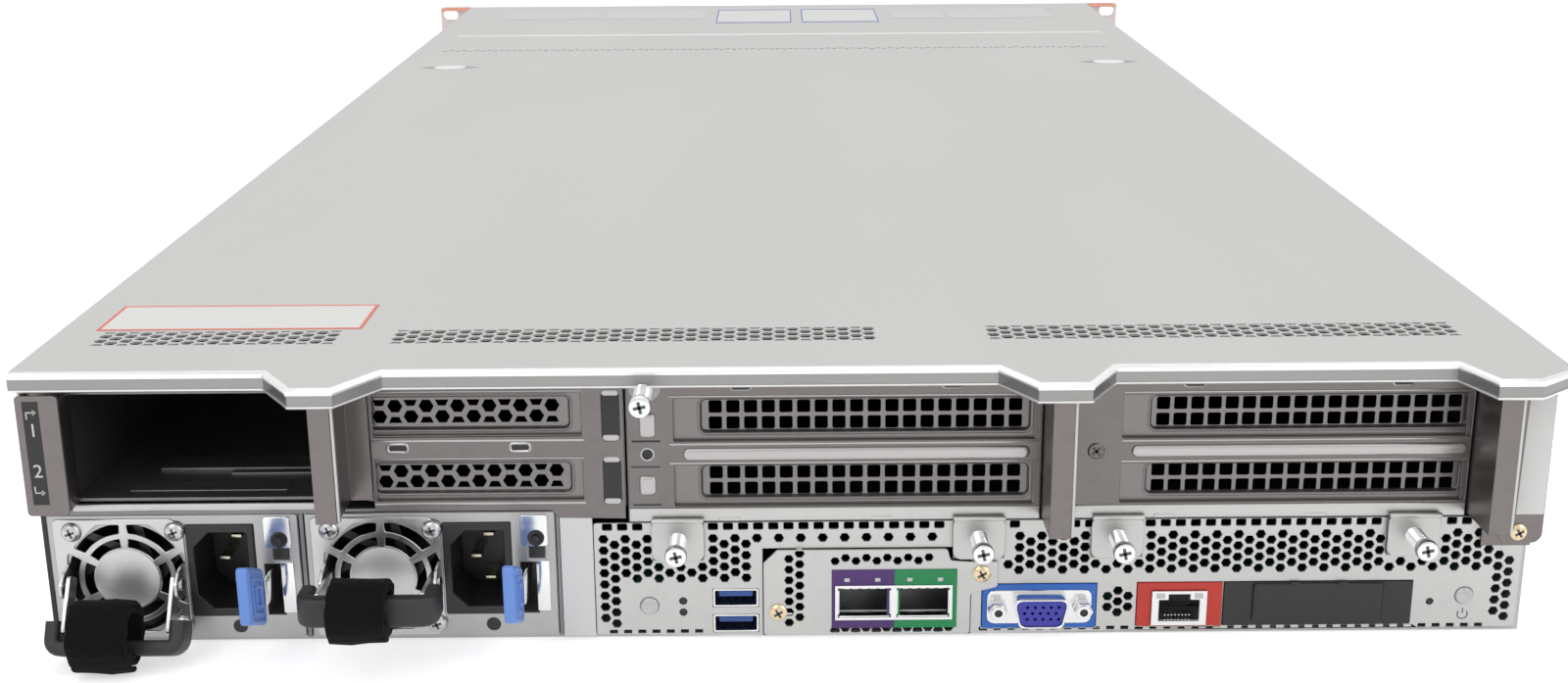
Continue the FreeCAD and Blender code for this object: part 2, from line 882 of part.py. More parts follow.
def hexagon_rows(middle_x, middle_z, y):
    """Two rows of hexagons, where each column holds a whole one and half of another."""
    across = s.cover_hex.value
    corner = across / math.sqrt(3)
    edge = s.cover_hex_band.value / 2
    columns = int(s.cover_hex_columns.value)
    holes = []
    for column in range(columns):
        x = middle_x + (column - (columns - 1) / 2) * s.cover_hex_pitch.value
        up = 1 if column % 2 else -1
        holes.append(hexagon(x, middle_z + up * (edge - across / 2), across, y))
        flat = middle_z - up * edge
        tip = flat + up * across / 2
        half = [(x - corner, flat), (x + corner, flat), (x + corner / 2, tip), (x - corner / 2, tip)]
        holes.append([FreeCAD.Vector(u, y, v) for u, v in half])
    return holes


def square_rows(middle_x, middle_z, y):
    """Two rows of square holes."""
    pitch = s.cover_hole_pitch.value
    half = s.cover_hole.value / 2
    columns = int(s.cover_hole_columns.value)
    holes = []
    for column in range(columns):
        x = middle_x + (column - (columns - 1) / 2) * pitch
        for row in (-0.5, 0.5):
            z = middle_z + row * pitch
            holes.append(rectangle((x - half, x + half), (z - half, z + half), y))
    return holes


def slot_covers(slot_left, slot_length, slot_low, hole_rows):
    """The two perforated covers that close one cage's slot windows from inside."""
    lap = s.slot_cover_lap.value
    y = panel_back.value
    covers = []
    for k in (0, 1):
        z_low = (slot_low + s.slot_pitch * k).value
        z_high = z_low + s.slot_height.value
        x_low = slot_left.value
        x_high = x_low + slot_length.value
        outline = rectangle((x_low - lap, x_high + lap), (z_low - lap, z_high + lap), y)
        holes = hole_rows((x_low + x_high) / 2, (z_low + z_high) / 2, y)
        covers.append(perforated(outline, holes, s.slot_cover_sheet.value))
    return covers


# --- rear panel of the main board ----------------------------------------------------


def panel_openings():
    """The port openings of the rear panel, as x and z limits in numbers."""
    gap = s.panel_hole_gap.value
    usb = [s.usb_left.value, s.usb_left.value + s.usb_width.value]
    places = []
    for low in (s.usb_low_1.value, s.usb_low_2.value):
        places.append((usb, [low, low + s.usb_height.value]))
    card = [s.card_left.value + 2 * s.card_sheet.value, s.card_right.value - 2 * s.card_sheet.value]
    clear = 2 * s.card_sheet.value
    places.append((card, [s.card_low.value + clear, s.card_top.value - clear]))
    for left, width, low, height in (
        (s.vga_left, s.vga_width, s.vga_low, s.vga_height),
        (s.lan_left, s.blank_left + s.blank_width - s.lan_left, s.lan_low, s.lan_height),
    ):
        places.append(([left.value, (left + width).value], [low.value, (low + height).value]))
    return [([x[0] - gap, x[1] + gap], [z[0] - gap, z[1] + gap]) for x, z in places]


def panel_round_holes():
    """Buttons, lights and screws of the rear panel: centre and hole width."""
    button = s.button_width.value + 2 * s.button_gap.value
    light = s.light_hole.value
    holes = [
        (s.id_button_x.value, s.id_button_z.value, button),
        (s.power_button_x.value, s.power_button_z.value, button),
        (s.id_light_x.value, s.id_button_z.value, light),
        (s.power_light_x.value, s.power_button_z.value - light, light),
    ]
    for x in (s.riser_screw_1_x, s.riser_screw_2_x, s.riser_screw_3_x, s.riser_screw_4_x):
        holes.append((x.value, s.riser_screw_height.value, s.screw_head.value))
    return holes


def rear_io_panel():
    """The pierced rear panel: a hexagon lattice laid round every port, and a comb on top."""
    y = panel_front.value
    left = s.panel_left.value
    right = wall_inner.value - s.seat_gap.value
    low = s.base_sheet.value
    top = s.panel_top.value + s.comb_height.value
    openings = panel_openings()
    rounds = panel_round_holes()
    holes = [rectangle(x, z, y) for x, z in openings]
    pitch = s.lattice_pitch.value
    hexa = s.lattice_hex.value
    rise = pitch * math.sqrt(3) / 2
    margin = hexa * 0.75
    column = 0
    while True:
        x = s.lattice_left.value + hexa / 2 + column * rise
        if x > right - margin:
            break
        row = 0
        while True:
            z = low + margin + pitch * row + (pitch / 2 if column % 2 else 0)
            if z > s.panel_top.value - margin:
                break
            if clear_of(x, z, margin, openings, rounds):
                holes.append(hexagon(x, z, hexa, y))
            row += 1
        column += 1
    slot = s.comb_slot.value
    x = left + slot
    while x < right - slot:
        limits = (s.panel_top.value, top - s.thin_sheet.value / 2)
        holes.append(rectangle((x - slot / 2, x + slot / 2), limits, y))
        x += s.comb_pitch.value
    outline = rectangle((left, right), (low, top), y)
    shape = perforated(outline, holes, s.thin_sheet.value)
    drills = []
    for x, z, width in rounds:
        start = FreeCAD.Vector(x, y - 1, z)
        along = FreeCAD.Vector(0, 1, 0)
        drills.append(Part.makeCylinder(width / 2, s.thin_sheet.value + 2, start, along))
    keep("rear_io_panel", stored(shape.cut(Part.makeCompound(drills))))


def clear_of(x, z, margin, openings, rounds):
    """True where a small hole keeps its distance from every opening."""
    for span_x, span_z in openings:
        if span_x[0] - margin < x < span_x[1] + margin and span_z[0] - margin < z < span_z[1] + margin:
            return False
    for other_x, other_z, width in rounds:
        if math.hypot(x - other_x, z - other_z) < width / 2 + margin:
            return False
    return True


def usb_ports():
    """Two stacked sockets: thin shells, each with its tongue."""
    pieces = []
    shell = s.usb_shell
    x = span(s.usb_left, s.usb_left + s.usb_width)
    for low in (s.usb_low_1, s.usb_low_2):
        z = span(low, low + s.usb_height)
        outer = box(x, span(panel_front, port_back), z)
        hollow = box(
            span(x[0] + shell, x[1] - shell),
            span(panel_front - 1, port_back - shell),
            span(z[0] + shell, z[1] - shell),
        )
        pieces.append(cut(outer, [hollow]))
        tongue_x = span(x[0] + shell * 2, x[1] - shell * 2)
        tongue_y = span(port_back - shell - s.usb_tongue_length, port_back - shell)
        tongue_z = span(z[1] - shell * 2 - s.usb_tongue, z[1] - shell * 2)
        pieces.append(box(tongue_x, tongue_y, tongue_z))
    keep("usb_ports", group(pieces))


def ocp_bracket():
    """The network card's bracket plate, with a screw ear at its upper right."""
    left = s.card_left
    right = s.card_right
    ear = right + s.card_ear
    ear_low = s.card_screw_2_z - s.card_ear / 2
    ear_high = s.card_screw_2_z + s.card_ear / 2
    corner = s.riser_screw_2_x - s.tab_plate_width / 2 - s.thin_sheet
    outline = [
        (left, s.card_low), (right, s.card_low), (right, ear_low), (ear, ear_low),
        (ear, ear_high), (corner, ear_high), (corner, s.card_top), (left, s.card_top),
    ]
    sfp_x = span(s.sfp_left - s.panel_hole_gap, s.sfp_left + s.sfp_width * 2 + s.panel_hole_gap)
    sfp_z = span(s.sfp_low - s.panel_hole_gap, s.sfp_low + s.sfp_height + s.panel_hole_gap)
    piece = profile("XZ", rear - s.card_sheet, rear, outline, rect(sfp_x, sfp_z))
    slot_x = middle(left + s.card_ear, s.lattice_hex)
    edge_slots = rect(slot_x, middle(s.card_low + s.lattice_hex, s.lattice_hex))
    slot = piece.pocket("XZ", rear - s.card_sheet, rear, edge_slots)
    piece.repeat(slot, "H_Axis", s.lattice_pitch, 7)
    top_slots = rect(slot_x, middle(s.card_top - s.lattice_hex, s.lattice_hex))
    slot = piece.pocket("XZ", rear - s.card_sheet, rear, top_slots)
    piece.repeat(slot, "H_Axis", s.lattice_pitch, 8)
    keep("ocp_bracket", piece.body)


def sfp_cages():
    """Two transceiver cages side by side, open at the rear."""
    outer = rect(
        span(s.sfp_left, s.sfp_left + s.sfp_width * 2),
        span(s.sfp_low, s.sfp_low + s.sfp_height),
    )
    start = rear - s.sfp_proud
    piece = profile("XZ", start, start + s.sfp_length, outer)
    wall = s.sfp_wall
    for k in (0, 1):
        left = s.sfp_left + s.sfp_width * k
        mouth = rect(
            span(left + wall, left + s.sfp_width - wall),
            span(s.sfp_low + wall, s.sfp_low + s.sfp_height - wall),
        )
        piece.pocket("XZ", start, start + s.sfp_length - wall, mouth)
    return piece.body


def ocp_card():
    """The network card behind the bracket: its board and the transceiver cages on it."""
    board = box(
        span(s.card_left + s.card_sheet * 3, s.card_right - s.card_sheet * 3),
        span(rear + s.port_depth / 5, rear + s.sfp_length * 2),
        span(s.sfp_low - s.board_sheet, s.sfp_low),
    )
    keep("ocp_card", group([board, sfp_cages()]))


def vga_port():
    """Flange, D-shaped shell with its insert, and two jack screws."""
    x_mid = s.vga_left + s.vga_width / 2
    z_mid = s.vga_low + s.vga_height / 2
    flange = rect(span(s.vga_left, s.vga_left + s.vga_width), span(s.vga_low, s.vga_low + s.vga_height))
    piece = profile("XZ", rear, rear + s.flange_sheet, flange)
    half = s.vga_shell_width / 2
    lower = s.vga_shell_width / 2 - s.vga_shell_height * 0.2
    tall = s.vga_shell_height / 2
    shell = [(x_mid - lower, z_mid - tall), (x_mid + lower, z_mid - tall), (x_mid + half, z_mid + tall),
             (x_mid - half, z_mid + tall)]
    piece.pad("XZ", rear - s.vga_shell_reach, rear, shell)
    rim = s.usb_shell
    cavity = [(x_mid - lower + rim, z_mid - tall + rim), (x_mid + lower - rim, z_mid - tall + rim),
              (x_mid + half - rim, z_mid + tall - rim), (x_mid - half + rim, z_mid + tall - rim)]
    piece.pocket("XZ", rear - s.vga_shell_reach, rear - s.vga_shell_reach + rim * 2, cavity)
    block = rect(middle(x_mid, s.vga_shell_width + 2), middle(z_mid, s.vga_shell_height + 1))
    piece.pad("XZ", rear + s.flange_sheet, port_back, block)
    for side in (-1, 1):
        x = x_mid + side * s.vga_jack_spacing / 2
        piece.pad("XZ", rear - s.vga_jack_reach, rear, circle(x, z_mid, s.vga_jack))
        piece.pocket("XZ", rear - s.vga_jack_reach, rear, circle(x, z_mid, s.vga_jack_bore))
    keep("vga_port", piece.body)


def lan_port():
    """The management socket: a flange with a keyed mouth, and its housing."""
    x = span(s.lan_left, s.lan_left + s.lan_width)
    z = span(s.lan_low, s.lan_low + s.lan_height)
    x_mid = s.lan_left + s.lan_width / 2
    piece = profile("XZ", rear, rear + s.flange_sheet, rect(x, z))
    housing = rect(middle(x_mid, s.lan_mouth_width + 4), span(z[0], z[1] - 1))
    piece.pad("XZ", rear + s.flange_sheet, port_back, housing)
    mouth = rect(middle(x_mid, s.lan_mouth_width), span(s.lan_mouth_low, s.lan_mouth_low + s.lan_mouth_height))
    piece.pocket("XZ", rear, rear + s.lan_mouth_depth, mouth)
    key_low = s.lan_mouth_low - s.flange_sheet * 2
    key = rect(middle(x_mid, s.lan_mouth_width / 2), span(key_low, s.lan_mouth_low))
    piece.pocket("XZ", rear, rear + s.lan_mouth_depth / 2, key)
    keep("lan_port", piece.body)


def port_blank():
    """The filler plate over the unused card position, with its raised flap."""
    z = span(s.lan_low, s.lan_low + s.lan_height)
    gap = s.panel_hole_gap
    plate = rect(span(s.blank_left + gap, s.blank_left + s.blank_width), z)
    piece = profile("XZ", rear, rear + s.flange_sheet, plate)
    flap = rect(
        span(s.blank_flap_left, s.blank_flap_left + s.blank_flap_width),
        span(z[0] + gap * 4, z[1] - gap * 4),
    )
    piece.pad("XZ", rear - s.blank_flap_proud, rear, flap)
    for side in (0, 1):
        lug_x = s.blank_left + s.flange_sheet * 4 + side * (s.blank_width - s.flange_sheet * 8)
        lug = rect(middle(lug_x, s.flange_sheet * 2), span(z[0] + gap, z[1] - gap))
        piece.pad("XZ", rear + s.flange_sheet, port_back, lug)
    keep("port_blank", piece.body)


def push_button(name, x, z):
    """A round cap whose stem slides in the panel, with a stop flange behind it."""
    start = rear - s.button_proud
    cap = rod("Y", x, start, z, s.button_width, s.button_length)
    flange = rod("Y", x, panel_back + s.seat_gap, z, s.button_width * 1.4, s.thin_sheet)
    keep(name, joined([cap, flange]))


def panel_screws():
    """Pan-head screws that stay tight: in the rear wall and in the card bracket."""
    places = [
        (s.post_2_x + s.post_width * 2, s.slot_low + s.slot_pitch * 0.8, rear),
        (s.post_3_x + s.post_width * 2, s.right_flange_foot + s.screw_head * 0.7, rear - s.thin_sheet),
        (s.card_screw_1_x, s.card_screw_1_z, rear - s.card_sheet),
        (s.card_screw_2_x, s.card_screw_2_z, rear - s.card_sheet),
    ]
    heads = []
    for x, z, seat in places:
        head = rod("Y", x, seat - s.base_sheet * 1.5, z, s.screw_head * 0.8, s.base_sheet * 1.5)
        slot_y = span(seat - s.base_sheet * 2, seat - s.base_sheet)
        slot = box(middle(x, s.screw_head), slot_y, middle(z, s.base_sheet / 2))
        heads.append(cut(head, [slot]))
    keep("panel_screws", group(heads))


# --- power supplies ------------------------------------------------------------------


def psu_places(number):
    left = s.psu_left + s.psu_pitch * (number - 1)
    fan_x = left + s.fan_from_left
    fan_z = s.psu_low + s.fan_height
    return left, fan_x, fan_z


def psu_housing(number):
    """The steel case with its fan well and shaft, the inlet pocket and the latch slot."""
    left, fan_x, fan_z = psu_places(number)
    case = rect(span(left, left + s.psu_width), span(s.psu_low, s.psu_low + s.psu_height))
    piece = profile("XZ", rear, rear + s.psu_length, case)
    piece.pocket("XZ", rear, rear + s.fan_well_depth, circle(fan_x, fan_z, s.fan_well))
    inlet_x = span(left + s.inlet_from_left, left + s.inlet_from_left + s.inlet_width)
    inlet_z = span(s.psu_low + s.inlet_low, s.psu_low + s.inlet_low + s.inlet_height)
    piece.pocket("XZ", rear, rear + s.inlet_depth, rect(inlet_x, inlet_z))
    strip_x = middle(left + s.latch_from_left + s.latch_width / 2, s.latch_width + s.seat_gap * 2)
    strip_z = span(s.psu_low + s.tab_low, s.psu_low + s.psu_height * 0.6)
    piece.pocket("XZ", rear, rear + s.inlet_depth, rect(strip_x, strip_z))
    shaft = circle(fan_x, fan_z, s.small_fan_shaft)
    piece.pad("XZ", rear + s.small_fan_from_rear, rear + s.fan_well_depth, shaft)
    skin = s.thin_sheet
    inside_x = span(left + skin, left + s.psu_width - skin)
    inside_z = span(s.psu_low + skin, s.psu_low + s.psu_height - skin)
    piece.pocket("XZ", rear + s.fan_well_depth + skin, rear + s.psu_length, rect(inside_x, inside_z))
    keep(f"psu_{number}_housing", piece.body)


def psu_fan_guard(number):
    """The stamped guard: a pierced plate with ring, hub and spokes, and the handle's two ears."""
    _, fan_x, fan_z = psu_places(number)
    y = rear - s.guard_sheet
    plate = rect(
        span(fan_x - s.guard_left, fan_x + s.guard_right),
        middle(fan_z, s.guard_height),
    )
    wide_half = s.guard_mouth_width / 2
    tall_half = s.guard_mouth_height / 2
    slant = s.guard_mouth_corner
    mouth = []
    for turn_x, turn_z in ((1, -1), (1, 1), (-1, 1), (-1, -1)):
        side = (fan_x + turn_x * wide_half, fan_z + turn_z * (tall_half - slant))
        end = (fan_x + turn_x * (wide_half - slant), fan_z + turn_z * tall_half)
        mouth += [end, side] if turn_x * turn_z < 0 else [side, end]
    piece = profile("XZ", y, rear, plate, mouth)
    ring_inner = s.guard_ring - s.guard_ring_width * 2
    half = s.guard_spoke / 2
    inner = s.guard_hub / 2 - s.guard_spoke / 2
    for k in range(6):
        turn = math.radians(60 * k + 90)
        reach = tall_half + half if k % 3 == 0 else wide_half / math.cos(math.radians(30)) + half
        cos, sin = math.cos(turn), math.sin(turn)
        corners = []
        for along, across in ((inner, -half), (reach, -half), (reach, half), (inner, half)):
            corners.append((fan_x + along * cos - across * sin, fan_z + along * sin + across * cos))
        piece.pad("XZ", y, rear, corners)
    piece.pad("XZ", y, rear, circle(fan_x, fan_z, s.guard_hub))
    piece.pad("XZ", y, rear, circle(fan_x, fan_z, s.guard_ring), circle(fan_x, fan_z, ring_inner))
    reach = s.guard_screw_reach
    for side_x in (-1, 1):
        for side_z in (-1, 1):
            head = circle(fan_x + side_x * reach, fan_z + side_z * reach, s.guard_screw_head)
            piece.pad("XZ", y - s.guard_sheet * 2, y, head)
    ear_y = rear - s.handle_pivot_reach
    ear_z = s.psu_low + s.handle_pivot_height
    for side in (-1, 1):
        limits = middle(fan_x + side * s.handle_ear_spread / 2, s.handle_ear_sheet)
        foot = rect(span(ear_y, y), middle(ear_z, s.handle_ear_radius * 2))
        piece.pad("YZ", limits[0], limits[1], foot)
        piece.pad("YZ", limits[0], limits[1], circle(ear_y, ear_z, s.handle_ear_radius * 2))
        piece.pocket("YZ", limits[0], limits[1], circle(ear_y, ear_z, s.handle_pin + s.handle_running_gap * 2))
    keep(f"psu_{number}_fan_guard", piece.body)


def blade_shape(hub, sweep, depth, count, angle, sheet_thickness):
    """One ring of pitched blades trimmed between the hub and the sweep circle."""
    outer = Part.makeCylinder(sweep / 2, depth)
    blades = []
    for k in range(count):
        blade = Part.makeBox(sweep / 2, sheet_thickness, depth * 2)
        blade.translate(FreeCAD.Vector(0, -sheet_thickness / 2, -depth))
        blade.rotate(FreeCAD.Vector(), FreeCAD.Vector(1, 0, 0), angle)
        blade.translate(FreeCAD.Vector(0, 0, depth / 2))
        blade.rotate(FreeCAD.Vector(), FreeCAD.Vector(0, 0, 1), 360 * k / count)
        blades.append(blade.common(outer))
    return blades


def fan_rotor(name, x, y, z, hub, sweep, depth, bore):
    """A hub with pitched blades, turning about an axis along Y."""
    angle = s.blade_angle.value
    count = int(s.blade_count.value)
    blades = blade_shape(hub.value, sweep.value, depth.value, count, angle, s.blade_sheet.value)
    solid = Part.makeCylinder(hub.value / 2, depth.value).fuse(blades)
    solid = solid.cut(Part.makeCylinder(bore.value / 2, depth.value))
    piece = stored(solid)
    piece.Placement = FreeCAD.Placement(FreeCAD.Vector(), TURNS["Y"])
    place(piece, x, y, z)
    keep(name, piece)


def psu_inlet(number):
    """A mains inlet with chamfered corners and three pins, set upright."""
    left, _, _ = psu_places(number)
    gap = s.panel_hole_gap
    x = span(left + s.inlet_from_left + gap, left + s.inlet_from_left + s.inlet_width - gap)
    z = span(s.psu_low + s.inlet_low + gap, s.psu_low + s.inlet_low + s.inlet_height - gap)
    piece = profile("XZ", rear - s.inlet_flange, rear + s.inlet_depth, rect(x, z))
    x_mid = (x[0] + x[1]) / 2
    z_mid = (z[0] + z[1]) / 2
    mouth_x = middle(x_mid, s.inlet_mouth_width)
    mouth_z = middle(z_mid, s.inlet_mouth_height)
    corner = s.inlet_corner
    mouth = [
        (mouth_x[0] + corner, mouth_z[0]), (mouth_x[1], mouth_z[0]), (mouth_x[1], mouth_z[1]),
        (mouth_x[0] + corner, mouth_z[1]), (mouth_x[0], mouth_z[1] - corner), (mouth_x[0], mouth_z[0] + corner),
    ]
    floor = rear - s.inlet_flange + s.inlet_mouth_depth
    piece.pocket("XZ", rear - s.inlet_flange, floor, mouth)
    for k in (-1, 0, 1):
        pin_x = middle(x_mid + (s.inlet_pin_width if k else -s.inlet_pin_width), s.inlet_pin_height)
        pin_z = middle(z_mid + k * s.inlet_pin_pitch, s.inlet_pin_width)
        piece.pad("XZ", floor - s.inlet_mouth_depth * 0.7, floor, rect(pin_x, pin_z))
    keep(f"psu_{number}_inlet", piece.body)


def psu_lever(number):
    """The release tab: a sprung strip with a skewed plastic paddle."""
    left, _, _ = psu_places(number)
    x = left + s.latch_from_left
    low = s.psu_low + s.tab_low
    tip = rear - s.tab_reach
    paddle = [
        (tip, low + s.tab_skew), (rear - s.tab_skew, low), (rear - s.tab_skew, low + s.tab_height - s.tab_skew),
        (tip, low + s.tab_height),
    ]
    piece = profile("YZ", x - s.tab_thickness / 2, x + s.tab_thickness / 2, paddle)
    strip_z = span(low + s.tab_skew, low + s.tab_height - s.tab_skew * 1.5)
    strip = rect(span(rear - s.tab_skew, rear + s.inlet_depth - s.panel_hole_gap), strip_z)
    strip_x = x + s.latch_width / 2
    piece.pad("YZ", strip_x - s.latch_sheet, strip_x, strip)
    keep(f"psu_{number}_lever", piece.body)


def turned_about_pivot(piece, number, drop):
    """Sets a piece drawn about the handle's pivot into place, swung down by drop degrees."""
    _, fan_x, _ = psu_places(number)
    piece.Placement = FreeCAD.Placement(FreeCAD.Vector(), FreeCAD.Rotation(FreeCAD.Vector(1, 0, 0), drop))
    return place(piece, fan_x, rear - s.handle_pivot_reach, s.psu_low + s.handle_pivot_height)


def psu_handle(number, drop):
    """A carrying handle drawn about its pivot: two steel legs and a moulded grip."""
    piece = Piece()
    ear_outer = s.handle_ear_spread / 2 + s.handle_ear_sheet / 2 + s.seat_gap
    ear_inner = s.handle_ear_spread / 2 - s.handle_ear_sheet / 2 - s.seat_gap
    half_leg = s.handle_leg_width / 2
    grip_back = -s.handle_reach + s.grip_thickness
    half_grip = s.grip_width / 2
    bar = rect(span(-half_grip, half_grip), span(-s.handle_reach, grip_back))
    grip_z = middle(0, s.grip_height)
    piece.pad("XY", grip_z[0], grip_z[1], bar)
    for side in (-1, 1):
        leg = sorted([side * ear_outer, side * (ear_outer + s.handle_leg)], key=lambda d: d.value)
        piece.pad("YZ", leg[0], leg[1], rect(span(grip_back, 0), span(-half_leg, half_leg)))
        piece.pad("YZ", leg[0], leg[1], circle(0, 0, s.handle_leg_width))
        pin = sorted([side * ear_outer, side * ear_inner], key=lambda d: d.value)
        piece.pad("YZ", pin[0], pin[1], circle(0, 0, s.handle_pin))
        arm = sorted([side * (ear_outer - s.seat_gap / 2), side * half_grip], key=lambda d: d.value)
        piece.pad("XY", grip_z[0] * 0.7, grip_z[1] * 0.7, rect(arm, span(grip_back, grip_back + s.grip_arm)))
    longest = s.grip_width.value * 0.9
    piece.fillet(s.grip_thickness / 4, lambda edge: runs_along(edge, "x") and edge.Length > longest)
    keep(f"psu_{number}_handle", turned_about_pivot(piece.body, number, drop))


def psu_strap(number, drop, lift, forward):
    """The cord strap rolled round the grip's left half, as one soft closed roll."""
    piece = Piece()
    arm_inner = s.handle_ear_spread / 2 + s.handle_ear_sheet / 2
    left = -arm_inner + s.strap_gap * 2
    turn = math.radians(drop)
    bar_y = -s.handle_reach + s.grip_thickness / 2
    roll_y = bar_y - forward * math.cos(turn) + lift * math.sin(turn)
    roll_z = forward * math.sin(turn) + lift * math.cos(turn)
    piece.pad("YZ", left, left + s.strap_width, circle(roll_y, roll_z, s.strap_radius * 2))
    clear = s.strap_gap
    hole = rect(
        span(-s.handle_reach - clear, -s.handle_reach + s.grip_thickness + clear),
        middle(0, s.grip_height + clear * 2),
    )
    piece.pocket("YZ", left, left + s.strap_width, hole)
    keep(f"psu_{number}_strap", turned_about_pivot(piece.body, number, drop))


# --- inside the chassis ------------------------------------------------------------


def motherboard():
    """An L-shaped board on round standoffs, ahead of the power supplies."""
    y0 = port_back
    step = rear + s.board_wide_from_rear
    far = rear + s.board_length
    right = wall_inner - s.standoff_width
    outline = [
        (s.board_left, y0), (right, y0), (right, far), (-right, far), (-right, step), (s.board_left, step),
    ]
    piece = profile("XY", s.board_low, board_top, outline)
    inset = s.standoff_width * 2
    for x in (s.board_left + inset, right - inset):
        for y in (y0 + inset, (y0 + far) / 2, far - inset):
            piece.pad("XY", s.base_sheet, s.board_low, circle(x, y, s.standoff_width))
    for y in (step + inset, far - inset):
        piece.pad("XY", s.base_sheet, s.board_low, circle(-right + inset, y, s.standoff_width))
    card_bay = rect(span(s.card_left, s.card_right), span(y0 - 1, rear + s.sfp_length * 2 + s.seat_gap))
    piece.pocket("XY", s.board_low, board_top, card_bay)
    switch_front = rear - s.button_proud + s.button_length + s.thin_sheet * 1.3
    for x, z in ((s.id_button_x, s.id_button_z), (s.power_button_x, s.power_button_z)):
        block = rect(middle(x, s.button_width * 1.6), span(switch_front, y0 + s.standoff_width))
        piece.pad("XY", board_top, z + s.button_width, block)
    keep("motherboard", piece.body)


def cpu_heatsinks():
    """Two finned heatsinks, each cut from one extruded comb."""
    sinks = []
    for side in (-1, 1):
        x = side * s.socket_spread
        y = middle(rear + s.socket_from_rear, s.heatsink_length)
        base = box(middle(x, s.heatsink_width), y, span(board_top, board_top + s.heatsink_foot))
        count = int(s.heatsink_width.value / s.fin_pitch.value)
        fins = [base]
        for k in range(count):
            fin_x = x + s.fin_pitch * (k - (count - 1) / 2)
            fin_z = span(board_top + s.heatsink_foot, board_top + s.heatsink_height)
            fins.append(box(middle(fin_x, s.fin_sheet), y, fin_z))
        sinks.append(joined(fins))
    keep("cpu_heatsinks", group(sinks))


def memory_modules():
    """Four banks of memory in their sockets, one bank on each side of each heatsink."""
    sockets = []
    modules = []
    for x_bank in (-1, 1):
        for side in (-1, 1):
            edge = x_bank * s.socket_spread + side * (s.heatsink_width / 2 + s.seat_gap)
            for k in range(2):
                x = edge + side * s.memory_pitch * (k + 0.5)
                y = middle(rear + s.socket_from_rear, s.memory_length)
                seat = board_top + s.memory_socket
                sockets.append(box(middle(x, s.memory_sheet * 2), y, span(board_top, seat)))
                modules.append(box(middle(x, s.memory_sheet), y, span(seat, board_top + s.memory_height)))
    keep("memory_modules", group(sockets + modules))


def power_board():
    """The upright board that both power supplies plug into."""
    y = span(rear + s.power_board_from_rear, rear + s.power_board_from_rear + s.power_board_sheet)
    left = -wall_inner + s.seat_gap
    right = s.psu_left + s.psu_pitch + s.psu_width - s.thin_sheet
    board_z = span(s.base_sheet, s.base_sheet + s.power_board_height)
    piece = profile("XZ", y[0], y[1], rect(span(left + 4, right), board_z))
    for number in (1, 2):
        place_left = psu_places(number)[0]
        socket_x = middle(place_left + s.psu_width / 2, s.psu_width / 2)
        socket_low = s.psu_low + s.power_socket_rise
        socket = rect(socket_x, span(socket_low, socket_low + s.power_socket_height))
        piece.pad("XZ", rear + s.psu_length + s.seat_gap, y[0], socket)
    keep("power_distribution_board", piece.body)


def fan_places():
    for k in range(4):
        yield k + 1, fan_pitch * (k - 1.5), front - s.fan_from_front, s.base_sheet + s.fan_frame / 2


def system_fans():
    """Four square fan frames, each with a stator shaft on three ribs, and their rotors."""
    frames = []
    for number, x, y, z in fan_places():
        frame = profile(
            "XZ", y, y + s.fan_frame_depth,
            rect(middle(x, s.fan_frame), span(s.base_sheet, s.base_sheet + s.fan_frame)),
            circle(x, z, s.fan_hole),
        )
        rib = s.thin_sheet * 3
        arm = s.fan_hole / 2 + s.thin_sheet / 2
        frame.pad("XZ", y, y + rib, rect(middle(x, rib), middle(z, arm * 2)))
        frame.pad("XZ", y, y + rib, rect(middle(x, arm * 2), middle(z, rib)))
        frame.pad("XZ", y, y + s.fan_frame_depth - rib, circle(x, z, s.fan_shaft))
        frames.append(frame.body)
        rotor_y = y + rib + s.fan_tip_gap
        depth = s.fan_frame_depth - rib * 2 - s.fan_tip_gap
        sweep = s.fan_hole - s.fan_tip_gap * 2
        bore = s.fan_shaft + s.fan_shaft_gap * 2
        fan_rotor(f"system_fan_{number}", x, rotor_y, z, s.fan_hub, sweep, depth, bore)
    keep("fan_frames", group(frames))


def fan_wall():
    """The sheet wall that holds the four fans, with one round opening for each."""
    y = front - s.fan_from_front - s.seat_gap - s.thin_sheet
    circles = [circle(x, z, s.fan_hole) for _, x, _, z in fan_places()]
    outline = rect(wide(wall_inner - s.seat_gap), span(s.base_sheet, wall_top - s.base_sheet - s.seat_gap))
    piece = profile("XZ", y, y + s.thin_sheet, outline, *circles)
    lip = rect(wide(wall_inner - s.seat_gap), span(s.base_sheet, s.base_sheet + s.thin_sheet))
    piece.pad("XZ", y - s.hem_width, y, lip)
    keep("fan_wall", piece.body)


# --- drive bays --------------------------------------------------------------------


def bay_x(column):
    return bay_pitch * (column - 1.5)


